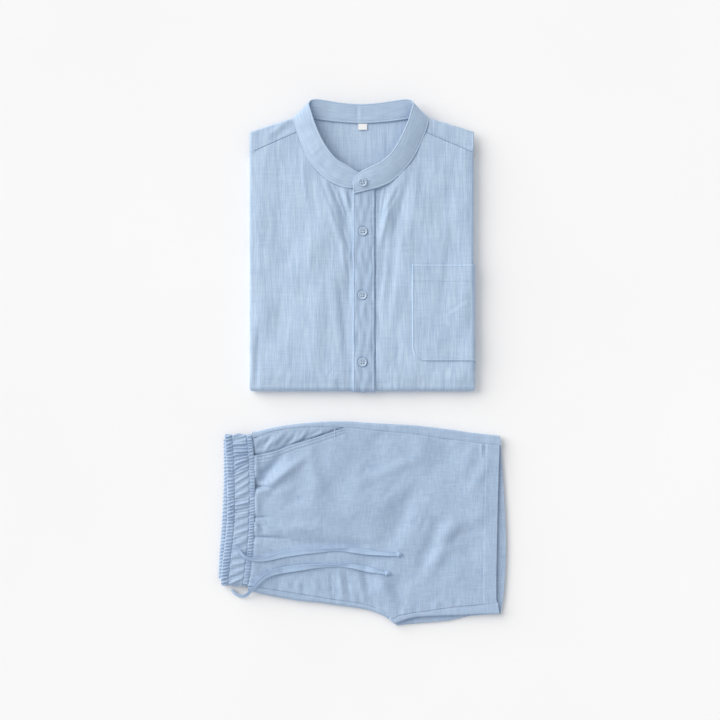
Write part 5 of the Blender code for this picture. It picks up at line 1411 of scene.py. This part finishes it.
def add_waistband(cloth):
    """The gathered casing in three channels, with both of its folds."""
    path = band_path()
    y, z, ny, nz, strength = [column[:, None] for column in path.T]
    run = run_of(path[:, :2])[:, None]
    seams = [0.255, 0.27, 0.285, 0.785, 0.80, 0.815]
    share = np.unique([*np.linspace(0, 1, 54), *seams])[None, :]
    left, right = read(BAND_LEFT, y), read(BAND_RIGHT, y) - SEAM_CLEAR
    scallop = 0.35 * np.sin(run * 2 * np.pi / GATHER_PITCH) * smooth_step(0.12, 0, share) * strength
    height = gather_height(run, share) * strength
    edge = np.minimum(share, 1 - share) * BAND_WIDTH
    round_off = -0.9 * (1 - np.sqrt(np.clip(edge / 1.6, 0, 1)))
    seam = -0.75 * (dip(share, 0.27, 0.016) + dip(share, 0.80, 0.014))
    off = OUT + height + round_off + seam - 0.15
    x = left + (right - left) * share + scallop
    outer = grid(x, y + ny * (off + 0.5), z + nz * (off + 0.5))
    inner_off = np.minimum(off, 0.1) - 0.45
    inner = grid(x, y + ny * inner_off, z + nz * inner_off)
    piece = add_wall("waistband_front_cloth", outer, inner, cloth, "shorts_cloth", ["waistband_front"])
    declare_sheet(piece, grid(x, y, z))


def add_inner_band(cloth):
    """The back band's gathered edge beside the front band."""
    y = np.arange(INNER_BAND_YS[0], INNER_BAND_YS[1], -0.55)[:, None]
    share = np.array([0, 0.03, 0.07, 0.12, 0.2, 0.3, 0.4, 0.55, 0.7, 0.85, 1.0])[None, :]
    left = read(INNER_BAND_LEFT, y)
    wave = 1.7 * np.sin(y * 2 * np.pi / 5.1 + 1.4 * np.sin(y / 21)) * smooth_step(0.9, 0.4, share)
    bulge = 0.5 + 1.5 * np.sqrt(np.clip(share / 0.25, 0, 1))
    x = left + INNER_BAND_WIDTH * share + 0.45 * wave * smooth_step(0.2, 0, share)
    outer, inner = grid(x, y, INNER_BAND_Z + bulge + 0.42 * wave), grid(x, y, INNER_BAND_Z - bulge)
    piece = add_wall("waistband_back_cloth", outer, inner, cloth, "shorts_cloth", ["waistband_back"])


def add_shorts_layers(cloth):
    """The hidden lower leg as stacked layers."""
    points = [(x, read(TOP_OUTLINE, x) - 0.2) for x in (-150, -120, *range(-80, 161, 40), 186)]
    points += [(read(HEM_BACK, y) - 2.4, y) for y in (-130, -180, -240, -300, -335)]
    for x in (178, 150, 120, 90, 60, 46.6, 37.5, 20, -20, -60, -100, -150):
        y = read(UNDER_OUTLINE, x) - 1.6
        if x < 38:
            y = read(STACK_OUTLINE, x) + 8.8
        points.append((x, y))
    points.append((-152, -299))
    points += [(read(INNER_BAND_LEFT, y) + 1.6, y) for y in (-296, -270, -235, -200, -160, -125)]
    points += [(-187, -109), (-160, -106)]
    outline = np.array(points)
    fine = np.vstack([np.linspace(a, b, 9)[:-1] for a, b in zip(outline, np.roll(outline, -1, axis=0))])
    piece = layer_stack("shorts_layers_cloth", fine, SHORTS_LAYERS, cloth, "shorts_cloth",
                        ["shorts_folded_layers"])


def string_line(route):
    """The tape's path with its twist, lying on the front beyond the waistband."""
    line = spline(route, 10)
    run = run_of(line[:, :3])
    places = np.linspace(0, run[-1], 150)
    line = np.stack([np.interp(places, run, line[:, k]) for k in range(5)], axis=1)
    resting = smooth_step(*STRING_LANDS, line[:, 0])
    under = np.max([front_face(line[:, 0], line[:, 1] + dy) for dy in (-2.8, -1.4, 0, 1.4, 2.8)], axis=0)
    padded = np.pad(under, 4, mode="edge")
    under = np.max([padded[k:k + len(under)] for k in range(9)], axis=0)
    tilt = TAPE_WIDTH / 2 * np.abs(np.sin(np.radians(line[:, 3]))) * line[:, 4]
    rest_z = under + PLY / 2 + TAPE_THICK / 2 + STRING_CLEAR + 0.35 + tilt
    line[:, 2] += (rest_z - line[:, 2]) * resting
    return line, run[-1]


def add_drawstring(name, route, cloth):
    """One free end of the tie: a flat folded tape with its knot, declared as a cord."""
    line, length = string_line(route)
    centre = line[:, :3]
    along = unit(np.gradient(centre, axis=0))
    side = unit(np.cross((0, 0, 1.0), along))
    rise = np.cross(along, side)
    turn = np.radians(line[:, 3])[:, None]
    wide = side * np.cos(turn) + rise * np.sin(turn)
    thin = -side * np.sin(turn) + rise * np.cos(turn)
    half, thick = (TAPE_WIDTH - TAPE_THICK) / 2, TAPE_THICK / 2
    section = [(half + thick * math.cos(a), thick * math.sin(a)) for a in np.radians([-60, -20, 20, 60])]
    section += [(half * s, thick * (0.86 + 0.14 * abs(s))) for s in (0.85, 0.4, 0, -0.4, -0.85)]
    section += [(-half - thick * math.cos(a), thick * math.sin(a)) for a in np.radians([60, 20, -20, -60])]
    section += [(half * s, -thick * 0.9) for s in (-0.85, -0.4, 0, 0.4, 0.85)]
    rings = []
    for u, v in section:
        rings.append(centre + wide * (u * line[:, 4:]) + thin * (v + TAPE_BOW * (0.5 - (u / half) ** 2)))
    points, faces = [], []
    add_loft(points, faces, np.stack(rings, axis=1))
    piece = add_piece(name + "_tape", points, faces, cloth, "tie_cloth", [name])
    knot = add_knot(name + "_knot", centre[-1], along[-1], cloth)
    print(f"cord {name}: {length:.0f} mm")


def add_knot(name, end, along, cloth):
    """A tight overhand knot of the tape, with its short tail."""
    flat = unit(np.array([along[0], along[1], 0]))
    side, up = np.array([-flat[1], flat[0], 0]), np.array([0, 0, 1.0])
    start = end + flat * KNOT_R
    t = np.linspace(0, 2 * np.pi, 40)[:, None]
    loop = start + (1.9 * np.sin(t) + 0.5 * np.sin(2 * t)) * flat + 2.1 * np.cos(t) * side
    loop += (0.75 * np.sin(2 * t + 0.6) + KNOT_RISE) * up
    s = np.linspace(-1, 1, 12)[:, None]
    core = start + flat * (3.6 * s) + side * (0.5 * np.sin(2.2 * s)) + KNOT_RISE * up * (1 - 0.4 * s**2)
    mesh = joined(tubes([loop], 1.35, 10), tubes([core], 1.7, 10))
    return add_piece(name + "_tape", *mesh, cloth, "tie_cloth", [name])


def on_front(x, y):
    """Points on the fine front's face over x, y."""
    return np.stack([x, y, front_face(x, y) + (PLY / 2 + 0.02)], axis=1)


def add_shorts_stitches(thread, dark):
    """Hem, side seam, pocket mouth, centre front and fly stitching, and the pocket's bar tack."""
    y = np.arange(-119, -336, -1.5)
    lines = [on_front(read(HEM_FRONT, y) - HEM_WIDTH, y)]
    for start, end, seam, over in SEAM_STITCHES:
        x = np.arange(start, end, 1.5)
        lines.append(on_front(x, read(seam, x) + over))
    y = np.arange(-93.6, -105, -0.5)
    bar = tubes([on_front(-40.0 + 0.5 * np.sin((y + 93) * 6), y)], 0.5)
    # The stitches' lighter thread paints their highlights.
    add_piece("shorts_stitches", *joined(stitches(lines), bar), thread, "shorts_cloth")
    fly = on_front(*spline(FLY_STITCH, 12).T)
    add_piece("fly_stitches", *stitches([fly]), dark, "shorts_cloth")


# Stage

def add_floor():
    """A broad white floor just under the cloth."""
    mesh = bpy.data.meshes.new("floor")
    corners = [(-1, -1), (1, -1), (1, 1), (-1, 1)]
    mesh.from_pydata([(x * FLOOR_HALF, y * FLOOR_HALF, FLOOR_Z) for x, y in corners], [], [(0, 1, 2, 3)])
    mesh.materials.append(plain_material("floor_white", FLOOR_WHITE, 0.9, 0.01, 3.0, 0.1))
    new_object("floor", mesh)


def add_studio():
    """One broad soft light from the upper left and an even pale surround."""
    world = bpy.data.worlds.new("studio")
    world.use_nodes = True
    background = world.node_tree.nodes["Background"]
    background.inputs["Color"].default_value = (*SKY_COLOUR, 1)
    background.inputs["Strength"].default_value = SKY_STRENGTH
    bpy.context.scene.world = world
    light = bpy.data.lights.new("window", "SUN")
    light.angle = KEY_SPREAD
    light.energy = KEY_STRENGTH
    light.color = KEY_COLOUR
    window = new_object("window", light)
    window.rotation_euler = Vector(KEY_FROM).to_track_quat("Z", "Y").to_euler()
    bpy.context.scene.view_settings.view_transform = "Standard"


def add_camera():
    """Straight overhead, framed as the photograph."""
    camera = bpy.data.cameras.new("camera")
    camera.lens = LENS
    camera.sensor_width = 36.0
    camera.clip_end = 50.0
    distance = 720 * PIXEL / camera.sensor_width * LENS * MM
    obj = new_object("camera", camera)
    obj.location = (VIEW_CENTRE[0] * MM, VIEW_CENTRE[1] * MM, VIEW_Z * MM + distance)
    bpy.context.scene.camera = obj


def main():
    add_camera()
    add_studio()
    add_floor()
    # The placket's own weave is darker to paint the shade it lies in.
    shirt, placket, shorts, tie, collar = [cloth_material(*row) for row in WEAVES]
    # The second grain is dark thread that also paints shade, and the third paints highlights along the
    # collar's edges.
    thread, seam, edge_highlight_material, resin, tape = [plain_material(*row) for row in GRAINS]
    for name, route in DRAWSTRINGS.items():
        add_drawstring(name, route, tie)
    add_shirt_layers(shirt)
    add_fronts(shirt)
    add_yoke(shirt)
    add_placket(placket)
    add_pocket(shirt)
    add_collar(collar)
    add_collar_lines(seam, edge_highlight_material)
    add_label(tape)
    add_buttons(resin, thread)
    add_buttonhole(thread, seam)
    add_shirt_stitches(thread)
    add_shorts_layers(shorts)
    add_shorts_back(shorts)
    add_shorts_front(shorts)
    add_facing(shorts)
    add_other_front(shorts)
    add_waistband(shorts)
    add_inner_band(shorts)
    add_shorts_stitches(thread, seam)


main()
